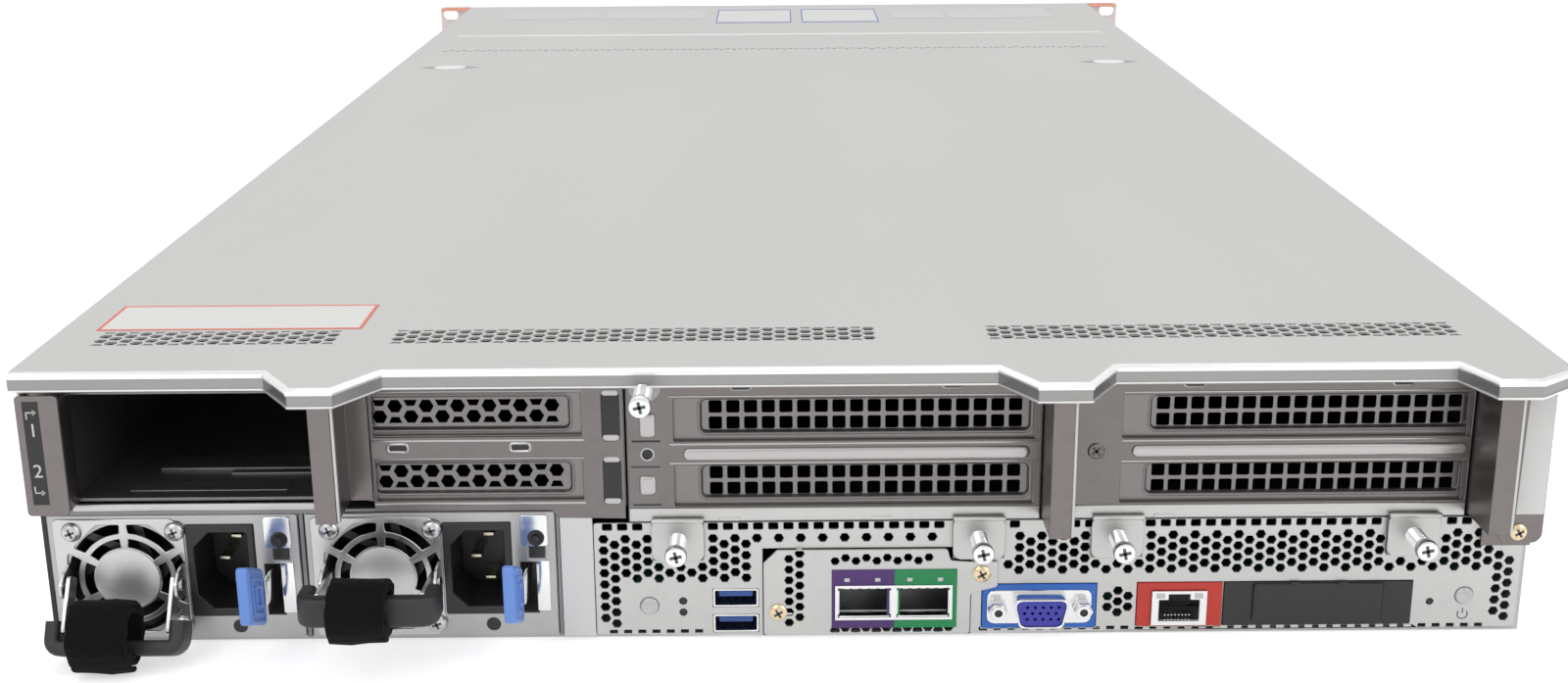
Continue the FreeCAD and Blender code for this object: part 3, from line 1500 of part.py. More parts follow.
def drive_cage():
    """Three upright partitions with guide ledges, standing on the chassis floor."""
    start = front - s.cage_front_depth
    high = wall_top - s.seat_gap
    low = s.base_sheet
    skin = s.thin_sheet
    piece = profile("XZ", start, front, rect(wide(wall_inner - s.seat_gap), span(low, low + skin)))
    upright = rect(middle(bay_x(0.5), skin), span(low + skin, high))
    wall = piece.pad("XZ", start, front, upright)
    piece.repeat(wall, "H_Axis", bay_pitch, 3)
    for row in (1, 2):
        z = s.bay_low + s.bay_rise * row - (s.bay_rise - s.bay_height) / 2
        half_gap = (bay_pitch - bay_width) / 2 + skin * 2
        ledge = rect(middle(bay_x(0.5), half_gap * 2), middle(z, skin * 0.6))
        shelf = piece.pad("XZ", start, front - s.carrier_face * 2, ledge)
        piece.repeat(shelf, "H_Axis", bay_pitch, 3)
    keep("drive_cage", piece.body)


def drive_backplane():
    """The board behind the drives, with air slots between its sockets."""
    start = front - s.cage_front_depth - s.backplane_sheet
    high = wall_top - s.base_sheet - s.seat_gap
    half = (wall_inner - s.seat_gap).value
    y = start.value
    slots = []
    for column in range(4):
        for row in range(3):
            z = numbers(middle(s.bay_low + s.bay_rise * (row + 0.5), s.backplane_slot))
            for side in (-1, 1):
                x = numbers(middle(bay_x(column) + side * s.backplane_slot * 1.5, s.backplane_slot))
                slots.append(rectangle(x, z, y))
    outline = rectangle((-half, half), (s.base_sheet.value, high.value), y)
    keep("drive_backplane", stored(perforated(outline, slots, s.backplane_sheet.value)))


def carrier_limits(column, row):
    x = middle(bay_x(column), bay_width)
    low = s.bay_low + s.bay_rise * row
    return x, span(low, low + s.bay_height)


def drive_carrier(column):
    """A drive on its carrier, with a recessed face for the lever."""
    x, z = carrier_limits(column, 2)
    end = front
    piece = profile("XZ", end - s.carrier_length, end - s.carrier_face * 2, rect(x, z))
    piece.pad("XZ", end - s.carrier_face * 2, end, rect(span(x[0], x[1] - s.carrier_grip), z))
    rail = s.carrier_face / 2
    grip_x = span(x[1] - s.carrier_grip, x[1])
    piece.pad("XZ", end - s.carrier_face * 2, end, rect(grip_x, span(z[0], z[0] + rail)))
    piece.pad("XZ", end - s.carrier_face * 2, end, rect(grip_x, span(z[1] - rail, z[1])))
    window_x = middle(x[0] + s.carrier_face * 3, s.carrier_face * 3)
    window = rect(window_x, middle((z[0] + z[1]) / 2, s.bay_height / 2))
    piece.pocket("XZ", end - s.carrier_face, end, window)
    keep(f"drive_carrier_{column + 1}", piece.body)


def carrier_lever(column):
    """The lever across a carrier's face, hinged at its right end."""
    x, z = carrier_limits(column, 2)
    rail = s.carrier_face / 2 + s.seat_gap
    lever_x = span(x[1] - s.carrier_grip + s.seat_gap * 4, x[1] - s.seat_gap)
    lever_z = span(z[0] + rail, z[1] - rail)
    start = front - s.carrier_face * 2 + s.seat_gap
    piece = profile("XZ", start, front, rect(lever_x, lever_z))
    slot = rect(
        span(lever_x[0] + s.carrier_face, lever_x[0] + s.carrier_face * 2),
        span(lever_z[0] + s.carrier_face, lever_z[1] - s.carrier_face),
    )
    hole = piece.pocket("XZ", start, front, slot)
    piece.repeat(hole, "H_Axis", s.carrier_face * 2, 6)
    keep(f"carrier_lever_{column + 1}", piece.body)


def drive_blanks():
    """Slotted fillers for the bays without a drive."""
    blanks = []
    for row in range(3):
        for column in range(4):
            if row == 2 and column < s.live_bays.value:
                continue
            x, z = carrier_limits(column, row)
            blank = profile("XZ", front - s.blank_depth, front, rect(x, z))
            slot = rect(
                span(x[0] + s.carrier_face * 2, x[0] + s.carrier_face * 3),
                span(z[0] + s.carrier_face, z[1] - s.carrier_face),
            )
            hole = blank.pocket("XZ", front - s.blank_depth, front, slot)
            blank.repeat(hole, "H_Axis", s.carrier_face * 2, 9)
            blanks.append(blank.body)
    keep("drive_blanks", group(blanks))


# --- rack ears and side studs --------------------------------------------------------


def front_ear(side):
    """An angle bracket: a leg on the side wall and a slotted flange for the rack post."""
    inner = wall_outer
    reach = ear_reach
    thick = s.ear_sheet
    angle = [
        (side * inner, front - s.ear_back), (side * (inner + thick), front - s.ear_back),
        (side * (inner + thick), front - thick), (side * reach, front - thick),
        (side * reach, front), (side * inner, front),
    ]
    low = s.base_sheet
    skirt_low = s.chassis_top - s.cover_skirt - s.seat_gap
    piece = profile("XY", low, skirt_low, angle)
    flange = [(side * (cover_outer + s.seat_gap), front - thick), (side * reach, front - thick),
              (side * reach, front), (side * (cover_outer + s.seat_gap), front)]
    piece.pad("XY", skirt_low, s.chassis_top, flange)
    for level in (-1, 1):
        x = side * (ear_reach - s.ear_slot_margin)
        z = s.chassis_top / 2 + level * s.ear_slot_rise / 2
        half_run = (s.ear_slot_length - s.ear_slot_height) / 2
        slot = rect(span(x - half_run, x + half_run), middle(z, s.ear_slot_height))
        piece.pocket("XZ", front - thick * 2, front + thick, slot)
        for end in (-1, 1):
            slot_end = circle(x + end * half_run, z, s.ear_slot_height)
            piece.pocket("XZ", front - thick * 2, front + thick, slot_end)
    return piece.body


def ear_trim(side):
    """The moulded cap on an ear's flange, between its two slots."""
    ends = [side * (ear_reach - s.ear_trim_width), side * (ear_reach - s.seat_gap)]
    x = sorted(ends, key=lambda end: end.value)
    margin = s.ear_slot_height
    z_mid = s.chassis_top / 2
    half = s.ear_slot_rise / 2 - margin
    piece = profile("XZ", front, front + s.ear_trim, rect(x, span(z_mid - half, z_mid + half)))
    if side > 0:
        hole = circle((x[0] + x[1]) / 2, z_mid + half / 2, s.button_width + s.button_gap * 2)
        piece.pocket("XZ", front, front + s.ear_trim, hole)
    return piece.body


def front_power_button():
    """A round cap in the right trim, free to travel towards the flange."""
    x = ear_reach - s.seat_gap / 2 - s.ear_trim_width / 2
    half = s.ear_slot_rise / 2 - s.ear_slot_height
    z = s.chassis_top / 2 + half / 2
    length = s.ear_trim * 2 / 3 + s.button_proud
    keep("front_power_button", rod("Y", x, front + s.ear_trim / 3, z, s.button_width, length))


def rail_studs():
    """Shouldered studs on both side walls, which the rack rails hook onto."""
    studs = []
    for k in (-1, 0, 1):
        y = s.stud_pitch * k
        for side in (-1, 1):
            start = wall_outer if side > 0 else -wall_outer - s.stud_reach
            studs.append(rod("X", start, y, s.stud_height, s.stud_width, s.stud_reach))
    keep("rail_studs", group(studs))


# --- the whole server --------------------------------------------------------------


def build():
    chassis_base()
    rear_frame()
    psu_bay()
    rear_bay_cage()
    front_top_panel()
    top_cover()
    edge = rear - s.cover_overhang
    captive_screw("cover_screw", s.cover_screw_x, s.cover_screw_height, edge, panel_front - s.seat_gap)
    slot_1_left = s.cage_1_left + s.thin_sheet
    slot_2_left = s.cage_2_left + s.slot_2_margin
    slot_3_left = s.cage_3_left + s.slot_3_margin
    tabs_2 = [s.riser_screw_1_x, s.riser_screw_2_x]
    tabs_3 = [s.riser_screw_3_x, s.riser_screw_4_x]
    slot_3_length = s.cage_3_right - slot_3_left - s.thin_sheet * 2
    cage_1_low = s.psu_shelf + s.thin_sheet + s.seat_gap
    low = s.slot_low
    riser_cage(1, s.cage_1_left, s.cage_1_right, cage_1_low, slot_1_left, s.slot_1_length, s.slot_1_low, [])
    riser_cage(2, s.cage_2_left, s.cage_2_right, s.cage_low, slot_2_left, s.slot_2_length, low, tabs_2)
    riser_cage(3, s.cage_3_left, s.cage_3_right, s.cage_low, slot_3_left, slot_3_length, low, tabs_3)
    covers = slot_covers(slot_1_left, s.slot_1_length, s.slot_1_low, hexagon_rows)
    covers += slot_covers(slot_2_left, s.slot_2_length, low, square_rows)
    covers += slot_covers(slot_3_left, slot_3_length, low, square_rows)
    keep("slot_covers", stored(Part.makeCompound(covers)))
    tab_front = panel_front - s.thin_sheet - s.seat_gap
    for number, x in enumerate(tabs_2 + tabs_3, start=1):
        tip = panel_front + s.thin_sheet * 2
        captive_screw(f"riser_screw_{number}", x, s.riser_screw_height, tab_front, tip)
    rear_io_panel()
    usb_ports()
    ocp_bracket()
    ocp_card()
    vga_port()
    lan_port()
    port_blank()
    push_button("id_button", s.id_button_x, s.id_button_z)
    push_button("rear_power_button", s.power_button_x, s.power_button_z)
    panel_screws()
    hanging = (1, s.handle_1_drop.value, s.strap_1_lift, s.strap_1_forward)
    for number, drop, lift, forward in (hanging, (2, 0, 0, 0)):
        _, fan_x, fan_z = psu_places(number)
        psu_housing(number)
        psu_fan_guard(number)
        fan_rotor(
            f"psu_{number}_fan", fan_x, rear + s.small_fan_from_rear, fan_z, s.small_fan_hub,
            s.small_fan_sweep, s.small_fan_depth, s.small_fan_shaft + s.fan_shaft_gap * 2,
        )
        psu_inlet(number)
        psu_lever(number)
        psu_handle(number, drop)
        psu_strap(number, drop, lift, forward)
    motherboard()
    cpu_heatsinks()
    memory_modules()
    power_board()
    system_fans()
    fan_wall()
    drive_cage()
    drive_backplane()
    for column in range(int(s.live_bays.value)):
        drive_carrier(column)
        carrier_lever(column)
    drive_blanks()
    keep("front_ears", group([front_ear(-1), front_ear(1)]))
    keep("ear_trims", group([ear_trim(-1), ear_trim(1)]))
    front_power_button()
    rail_studs()


def write_parts():
    """Checks every object, then writes one file for each node."""
    doc.recompute()
    for item in doc.Objects:
        if "Invalid" in item.State or "Error" in item.State:
            raise RuntimeError(f"{item.Name} ({item.Label}) failed: {item.State}")
    for name, piece in nodes.items():
        if piece.Shape.isNull() or not piece.Shape.isValid():
            raise RuntimeError(f"{name} has no valid shape")
    os.makedirs("parts", exist_ok=True)
    for name, piece in nodes.items():
        piece.Shape.exportStep(f"parts/{name}.step")
    print(len(nodes), "nodes written")


build()
write_parts()
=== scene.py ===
"""The looks of the rack server: finishes for every CAD node, and detailed pieces that stand for some.

Sizes are in millimetres until Part.place() turns them into metres. x runs to the right as seen from
behind, y runs from the rear face towards the drive end, and z runs up.
"""
import math

import bmesh
import bpy
from mathutils import Matrix, Vector, noise
from mathutils.geometry import delaunay_2d_cdt


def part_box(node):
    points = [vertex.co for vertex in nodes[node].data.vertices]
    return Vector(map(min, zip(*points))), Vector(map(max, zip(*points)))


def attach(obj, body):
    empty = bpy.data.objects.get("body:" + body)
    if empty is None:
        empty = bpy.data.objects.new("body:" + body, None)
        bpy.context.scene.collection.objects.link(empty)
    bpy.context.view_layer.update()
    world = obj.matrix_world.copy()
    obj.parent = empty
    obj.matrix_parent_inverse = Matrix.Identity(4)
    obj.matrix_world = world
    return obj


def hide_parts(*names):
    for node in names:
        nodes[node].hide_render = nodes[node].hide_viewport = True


MM = 0.001
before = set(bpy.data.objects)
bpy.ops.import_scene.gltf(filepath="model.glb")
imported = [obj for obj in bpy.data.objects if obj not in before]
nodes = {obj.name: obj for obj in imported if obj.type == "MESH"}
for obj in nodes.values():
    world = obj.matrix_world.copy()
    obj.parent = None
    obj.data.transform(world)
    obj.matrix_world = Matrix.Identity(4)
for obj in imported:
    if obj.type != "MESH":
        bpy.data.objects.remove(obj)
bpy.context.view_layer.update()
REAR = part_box("psu_1_housing")[0][1] / MM


def limits(node):
    """A CAD node's x, y and z limits in millimetres, with y counted from the rear face."""
    low, high = ([value / MM for value in corner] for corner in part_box(node))
    return [(low[k] - shift, high[k] - shift) for k, shift in enumerate((0, REAR, 0))]


TOP = limits("top_cover")[2][1]
SHEET = 1.0


# --- materials ---------------------------------------------------------------------------


class Finish:
    """One procedural material, built round a Principled shader."""

    def __init__(self, name, colour, roughness, metallic=0.0, **sockets):
        self.material = bpy.data.materials.new(name)
        self.material.use_nodes = True
        self.tree = self.material.node_tree
        self.shader = self.tree.nodes["Principled BSDF"]
        self.shader.inputs["Base Color"].default_value = (*colour, 1)
        self.shader.inputs["Roughness"].default_value = roughness
        self.shader.inputs["Metallic"].default_value = metallic
        for socket, value in sockets.items():
            self.shader.inputs[socket.replace("_", " ")].default_value = value
        self.colour = colour
        self.roughness = roughness
        self.normal = None

    def node(self, kind, **inputs):
        made = self.tree.nodes.new(kind)
        for socket, value in inputs.items():
            made.inputs[socket.replace("_", " ")].default_value = value
        return made

    def link(self, source, target):
        self.tree.links.new(source, target)

    def noise(self, scale, detail, stretch=(1, 1, 1), kind="ShaderNodeTexNoise"):
        """A noise in object coordinates, in metres, optionally drawn out along an axis."""
        place = self.node("ShaderNodeTexCoord")
        mapping = self.node("ShaderNodeMapping")
        mapping.inputs["Scale"].default_value = stretch
        self.link(place.outputs["Object"], mapping.inputs["Vector"])
        texture = self.node(kind, Scale=scale)
        if "Detail" in texture.inputs:
            texture.inputs["Detail"].default_value = detail
        self.link(mapping.outputs["Vector"], texture.inputs["Vector"])
        return texture.outputs[0]

    def spread(self, value, low, high):
        """Maps a 0 to 1 value onto a range."""
        made = self.node("ShaderNodeMapRange")
        made.inputs["To Min"].default_value = low
        made.inputs["To Max"].default_value = high
        self.link(value, made.inputs["Value"])
        return made.outputs["Result"]

    def tint(self, value, amount):
        """Varies the colour's brightness by the given amount either way."""
        mix = self.node("ShaderNodeMix")
        mix.data_type = "RGBA"
        mix.inputs["A"].default_value = (*[c * (1 - amount) for c in self.colour], 1)
        mix.inputs["B"].default_value = (*[min(c * (1 + amount), 1) for c in self.colour], 1)
        self.link(value, mix.inputs["Factor"])
        self.link(mix.outputs["Result"], self.shader.inputs["Base Color"])

    def gloss(self, value, amount):
        """Varies the roughness by the given amount either way."""
        low, high = self.roughness - amount, self.roughness + amount
        self.link(self.spread(value, low, high), self.shader.inputs["Roughness"])

    def bump(self, value, height):
        """Raises the surface by a height in millimetres."""
        made = self.node("ShaderNodeBump", Strength=1.0, Distance=height * MM)
        self.link(value, made.inputs["Height"])
        if self.normal:
            self.link(self.normal, made.inputs["Normal"])
        self.normal = made.outputs["Normal"]
        self.link(self.normal, self.shader.inputs["Normal"])

    def soft_edges(self, radius):
        """Rounds the look of sharp edges, for CAD nodes that have no bevels of their own."""
        made = self.node("ShaderNodeBevel", Radius=radius * MM)
        made.samples = 4
        self.normal = made.outputs["Normal"]
        self.link(self.normal, self.shader.inputs["Normal"])


def layered(name, colour, roughness, edges, *layers, **sockets):
    """A finish with soft edges and layers of (scale, detail, tint, gloss, bump, form) noise."""
    finish = Finish(name, colour, roughness, **sockets)
    if edges:
        finish.soft_edges(edges)
    for scale, detail, tint, gloss, bump, *form in layers:
        value = finish.noise(scale, detail, *form)
        for amount, change in ((tint, finish.tint), (gloss, finish.gloss), (bump, finish.bump)):
            if amount:
                change(value, amount)
    return finish


CELLS = (1, 1, 1), "ShaderNodeTexVoronoi"


def sheet_metal(name, colour, roughness, grain=(1, 1, 1), spangle=0.0, metallic=0.9):
    """Zinc-coated sheet: faint clouds, fine grain and, inside, the crystals of the coating."""
    crystals = [(160, 3, spangle, 0, 0, *CELLS)] if spangle else []
    clouds, fine = (14, 4, 0.05 + spangle * 0.5, 0, 0, grain), (1400, 2, 0, 0.06, 0.012, grain)
    return layered(name, colour, roughness, 0.25, clouds, fine, *crystals, metallic=metallic).material


def moulded(name, colour, roughness, grain=0.02):
    """Moulded plastic with a fine spark-eroded grain."""
    fine, broad = (2500, 2, 0, 0.05, grain), (60, 3, 0.06, 0, 0)
    return layered(name, colour, roughness, 0.2, fine, broad).material


def polished(name, colour, roughness):
    """Plated screws and pins, with faint handling marks."""
    return layered(name, colour, roughness, 0.1, (500, 3, 0.06, 0.08, 0), metallic=1.0).material


def paper(name, colour):
    """A matt printed label."""
    return layered(name, colour, 0.55, 0, (900, 4, 0.015, 0, 0.004)).material


COVER = sheet_metal("cover_sheet", (0.595, 0.60, 0.585), 0.5, grain=(1, 0.2, 1), metallic=0.4)
# A brighter polished copy of the cover steel: painted highlight on the rear lip, the hem's fold, the
# front seam and the thumb dents.
COVER_HIGHLIGHT = polished("cover_lip_painted_highlight", (0.80, 0.80, 0.79), 0.34)
# A darker copy of the cover steel: painted shade on the hem under the lip, in the thumb dents and in
# the screw pocket.
COVER_SHADE = sheet_metal("cover_hem_painted_shade", (0.30, 0.30, 0.295), 0.4)
PATCH = sheet_metal("pale_patch", (0.63, 0.635, 0.625), 0.5, metallic=0.4)
ZINC = sheet_metal("zinc_sheet", (0.178, 0.161, 0.159), 0.34, spangle=0.06)
BODY = sheet_metal("body_sheet", (0.46, 0.46, 0.455), 0.42, spangle=0.05, metallic=0.6)
CAGE = sheet_metal("cage_sheet", (0.17, 0.157, 0.154), 0.34, spangle=0.06)
PLATE = sheet_metal("slot_sheet", (0.20, 0.19, 0.187), 0.36, spangle=0.04)
# Bright panel steel, also used as painted highlight on the cages' lower bands and on the posts' folds.
PANEL_AND_HIGHLIGHT = sheet_metal("panel_sheet_and_painted_highlight", (0.50, 0.50, 0.49), 0.42, spangle=0.03)
# A lighter copy of the cage steel: painted highlight on the beads, rims, bosses and window edges.
CAGE_HIGHLIGHT = sheet_metal("cage_painted_highlight", (0.44, 0.43, 0.425), 0.3)
SUPPLY = sheet_metal("supply_sheet", (0.40, 0.40, 0.395), 0.36, spangle=0.03)
DARK_ZINC = sheet_metal("bay_sheet", (0.20, 0.20, 0.205), 0.42, spangle=0.08)
GUARD = polished("guard_steel", (0.52, 0.52, 0.525), 0.3)
CHROME = polished("plated_steel", (0.74, 0.74, 0.74), 0.16)
GOLD = polished("yellow_zinc", (0.70, 0.56, 0.36), 0.26)
BRASS = polished("brass", (0.60, 0.55, 0.43), 0.3)
BLACK = moulded("black_plastic", (0.014, 0.014, 0.015), 0.42)
SOFT_BLACK = moulded("black_grip", (0.022, 0.021, 0.022), 0.5)
BLUE = moulded("blue_plastic", (0.17, 0.33, 0.82), 0.4, grain=0.008)
USB_BLUE = moulded("usb_blue", (0.03, 0.09, 0.34), 0.4)
VGA_BLUE = moulded("vga_blue", (0.05, 0.05, 0.42), 0.4)
PLATE_BLUE = moulded("port_blue", (0.035, 0.16, 0.60), 0.42)
PLATE_RED = moulded("port_red", (0.60, 0.045, 0.03), 0.42)
PLATE_PURPLE = moulded("port_purple", (0.075, 0.025, 0.16), 0.42)
PLATE_GREEN = moulded("port_green", (0.01, 0.26, 0.085), 0.42)
BOARD = layered("board", (0.010, 0.085, 0.050), 0.42, 0, (220, 3, 0.35, 0, 0.03, *CELLS)).material
ALUMINIUM = sheet_metal("aluminium", (0.72, 0.72, 0.73), 0.35)
STRAP = layered("strap_pile", (0.006, 0.006, 0.0065), 0.95, 0,
                (1500, 6, 0.7, 0, 0.35), (420, 4, 0, 0, 0.5),
                Sheen_Weight=0.04, Sheen_Roughness=0.5, Specular_IOR_Level=0.12).material
WHITE_PAPER = paper("white_label", (0.80, 0.80, 0.79))
BLUE_PAPER = paper("blue_border", (0.10, 0.16, 0.50))
BLACK_PAPER = paper("black_label", (0.020, 0.020, 0.022))
INK = paper("pale_ink", (0.70, 0.70, 0.69))
# Dark ink for printed marks, also used as painted shade in the screws' cross recesses.
DARK_INK_AND_SHADE = paper("dark_ink_and_painted_shade", (0.10, 0.10, 0.11))
LENS = layered("lamp_cap", (0.62, 0.62, 0.62), 0.25, 0, (700, 2, 0.03, 0, 0), Coat_Weight=0.6).material
DISC = sheet_metal("fan_disc", (0.62, 0.62, 0.62), 0.5)
EAR = sheet_metal("ear_paint", (0.66, 0.60, 0.585), 0.5)
DARK_STEEL = polished("dark_steel", (0.16, 0.15, 0.13), 0.35)
CORAL_PAPER = paper("coral_border", (0.80, 0.20, 0.14))
CORAL = moulded("ear_trim", (0.72, 0.20, 0.08), 0.4)


# --- meshes --------------------------------------------------------------------------------


def rounded(points, radius, steps=4):
    """A polygon with its corners rounded."""
    count = len(points)
    made = []
    for k, point in enumerate(points):
        here = Vector(point)
        before = Vector(points[k - 1]) - here
        after = Vector(points[(k + 1) % count]) - here
        turn = before.angle(after)
        back = min(radius / math.tan(turn / 2), before.length * 0.49, after.length * 0.49)
        start = here + before.normalized() * back
        end = here + after.normalized() * back
        for step in range(steps + 1):
            t = step / steps
            made.append(tuple(start * (1 - t) ** 2 + here * (2 * t * (1 - t)) + end * t**2))
    return made


def rectangle(x, z):
    return [(x[0], z[0]), (x[1], z[0]), (x[1], z[1]), (x[0], z[1])]


def soft_box(x, z, radius, grow=0.0, steps=5):
    """A rectangle with round corners, grown on all sides, always with the same count of points."""
    radius = max(radius + grow, 0.05)
    points = []
    for k, (side_x, side_z) in enumerate(((1, 1), (-1, 1), (-1, -1), (1, -1))):
        corner_x = x[(side_x + 1) // 2] + side_x * (grow - radius)
        corner_z = z[(side_z + 1) // 2] + side_z * (grow - radius)
        for step in range(steps + 1):
            turn = math.pi / 2 * (k + step / steps)
            points.append((corner_x + radius * math.cos(turn), corner_z + radius * math.sin(turn)))
    return points


def upright(outline, y):
    return [(u, y, v) for u, v in outline]


def inset(path, by):
    """An open path moved to its left by a distance, with mitred corners."""
    moved = []
    for k, point in enumerate(path):
        here = Vector(point)
        ways = []
        if k:
            ways.append((here - Vector(path[k - 1])).normalized())
        if k < len(path) - 1:
            ways.append((Vector(path[k + 1]) - here).normalized())
        normals = [Vector((-way.y, way.x)) for way in ways]
        middle = sum(normals, Vector((0, 0))).normalized()
        moved.append(tuple(here + middle * by / middle.dot(normals[0])))
    return moved


def centred(middle, width):
    return (middle - width / 2, middle + width / 2)


def disc(x, z, radius, count=24):
    turns = [2 * math.pi * k / count for k in range(count)]
    return [(x + radius * math.cos(turn), z + radius * math.sin(turn)) for turn in turns]


def hexagon(x, z, across, first=30):
    """A hexagon by its width across the flats."""
    radius = across / math.sqrt(3)
    turns = [math.radians(60 * k + first) for k in range(6)]
    return [(x + radius * math.cos(turn), z + radius * math.sin(turn)) for turn in turns]


def clipped(polygon, x, z):
    """The part of a convex polygon inside x and z limits."""
    for axis, (low, high) in enumerate((x, z)):
        for bound, sign in ((low, 1), (high, -1)):
            kept = []
            for k, point in enumerate(polygon):
                last = polygon[k - 1]
                inside = sign * (point[axis] - bound) >= 0
                if inside != (sign * (last[axis] - bound) >= 0):
                    t = (bound - last[axis]) / (point[axis] - last[axis])
                    kept.append(tuple(last[j] + t * (point[j] - last[j]) for j in (0, 1)))
                if inside:
                    kept.append(point)
            polygon = kept
    return polygon


PLANES = {
    "XZ": Matrix(((1, 0, 0, 0), (0, 0, 1, 0), (0, 1, 0, 0), (0, 0, 0, 1))),
    "XY": Matrix.Identity(4),
    "YZ": Matrix(((0, 0, 1, 0), (1, 0, 0, 0), (0, 1, 0, 0), (0, 0, 0, 1))),
}
AXES = {"X": "YZ", "Y": "XZ", "Z": "XY"}


def show(name, data):
    """A new object in the scene."""
    made = bpy.data.objects.new(name, data)
    bpy.context.scene.collection.objects.link(made)
    return made


def thicken(piece, faces, depth):
    """Makes flat faces into a solid."""
    grown = bmesh.ops.extrude_face_region(piece, geom=faces)
    lifted = [item for item in grown["geom"] if isinstance(item, bmesh.types.BMVert)]
    bmesh.ops.translate(piece, verts=lifted, vec=(0, 0, depth))
    bmesh.ops.recalc_face_normals(piece, faces=piece.faces)


class Part:
    """Solids, measured from a corner (x, z) of the rear, that place() makes one piece of a body."""

    made = []

    def __init__(self, name, slot, material, body="chassis", replaced=None, smooth=35, corner=(0, 0)):
        self.about = name, slot, material, body, replaced, smooth
        self.shift = Matrix.Translation((corner[0], REAR, corner[1]))
        self.mesh = bmesh.new()
        Part.made.append(self)

    def gather(self, mesh, matrix):
        mesh.transform(matrix)
        self.mesh.from_mesh(mesh)
        bpy.data.meshes.remove(mesh)
        return self

    def take(self, piece, matrix):
        mesh = bpy.data.meshes.new("part")
        piece.to_mesh(mesh)
        piece.free()
        if matrix.determinant() < 0:
            mesh.flip_normals()
        return self.gather(mesh, matrix)

    def curve(self, kind, matrix, draw):
        """Takes what a curve of that kind fills, once draw() has set it up."""
        curve = bpy.data.curves.new("curve", kind)
        draw(curve)
        drawn = bpy.data.objects.new("curve", curve)
        mesh = bpy.data.meshes.new_from_object(drawn)
        bpy.data.objects.remove(drawn)
        bpy.data.curves.remove(curve)
        return self.gather(mesh, matrix)

    def sheet(self, outline, holes, near, far, edge=0.12, plane="XZ"):
        """A flat sheet with holes right through it and softly broken edges."""

        def draw(curve):
            curve.dimensions = "2D"
            curve.fill_mode = "BOTH"
            curve.extrude = (far - near) / 2 - edge
            curve.bevel_depth = edge
            curve.bevel_resolution = 0
            curve.offset = -edge
            for k, ring in enumerate([outline, *holes]):
                wound = ring if (signed_area(ring) > 0) == (k == 0) else ring[::-1]
                spline = curve.splines.new("POLY")
                spline.points.add(len(ring) - 1)
                for point, (u, v) in zip(spline.points, wound):
                    point.co = (u, v, 0, 1)
                spline.use_cyclic_u = True

        return self.curve("CURVE", PLANES[plane] @ Matrix.Translation((0, 0, (near + far) / 2)), draw)

    def decal(self, outline, top, thick, under=0.0):
        """A thin sheet that lies on an upward face."""
        return self.sheet(outline, [], top - under - thick, top - under, 0.005, "XY")

    def prism(self, outline, near, far, edge=0.25, steps=2, plane="XZ"):
        """An extruded polygon with rounded edges."""
        piece = bmesh.new()
        floor_face = piece.faces.new([piece.verts.new((u, v, near)) for u, v in outline])
        thicken(piece, [floor_face], far - near)
        if edge:
            sharp = [e for e in piece.edges if e.calc_face_angle(0) > math.radians(30)]
            bmesh.ops.bevel(piece, geom=sharp, offset=edge, segments=steps, profile=0.5,
                            affect="EDGES", clamp_overlap=True)
        return self.take(piece, PLANES[plane])

    def block(self, x, y, z, edge=0.25, steps=2):
        return self.prism(rectangle(x, y), z[0], z[1], edge, steps, "XY")

    def loft(self, loops, ring=False, caps=True, matrix=Matrix.Identity(4)):
        """Joins loops of points, with one point at a tip; the ends are capped or joined in a ring."""
        piece = bmesh.new()
        rings = [[piece.verts.new(point) for point in loop] for loop in loops]
        for one, two in zip(rings, rings[1:] + rings[:1] if ring else rings[1:]):
            for k in range(max(len(one), len(two))):
                loop = [one[k % len(one)], one[(k + 1) % len(one)]]
                loop += [two[(k + 1) % len(two)], two[k % len(two)]]
                corners = list(dict.fromkeys(loop))
                if len(corners) > 2:
                    piece.faces.new(corners)
        if caps and not ring:
            piece.faces.new(rings[0])
            piece.faces.new(rings[-1])
        bmesh.ops.recalc_face_normals(piece, faces=piece.faces)
        return self.take(piece, matrix)

    def lathe(self, axis, centre, profile, count=32):
        """A turned solid from (radius, distance along the axis) pairs."""
        loops = [[(u, v, along) for u, v in disc(0, 0, radius, count if radius > 0.001 else 1)]
                 for radius, along in profile]
        return self.loft(loops, caps=False, matrix=Matrix.Translation(centre) @ PLANES[AXES[axis]])

    def sweep(self, section, path, up):
        """A section of (across, along up) points carried along a path."""
        up, last = Vector(up), len(path) - 1
        loops = []
        for k, point in enumerate(path):
            ahead = Vector(path[min(k + 1, last)]) - Vector(path[max(k - 1, 0)])
            across = ahead.normalized().cross(up).normalized()
            loops.append([Vector(point) + across * u + up * v for u, v in section])
        return self.loft(loops)

    def steps(self, x, z, radius, face, grown, ring=False):
        """Joins rings round a soft box, from (growth, depth) pairs."""
        loops = [upright(soft_box(x, z, radius, grow), face + along) for grow, along in grown]
        return self.loft(loops, ring)

    def pan(self, x, z, face, depth, holes, radius=2.0, skin=0.4):
        """A pan pressed inwards from an upright face: its sloping rim and its pierced floor."""
        rim = ((0.5, 0), (-0.1, 0.12), (-0.8, depth), (-0.8, depth + skin), (0.5, skin))
        self.steps(x, z, radius, face, rim, ring=True)
        return self.pierced(soft_box(x, z, radius, -0.7), holes, face + depth, face + depth + skin)

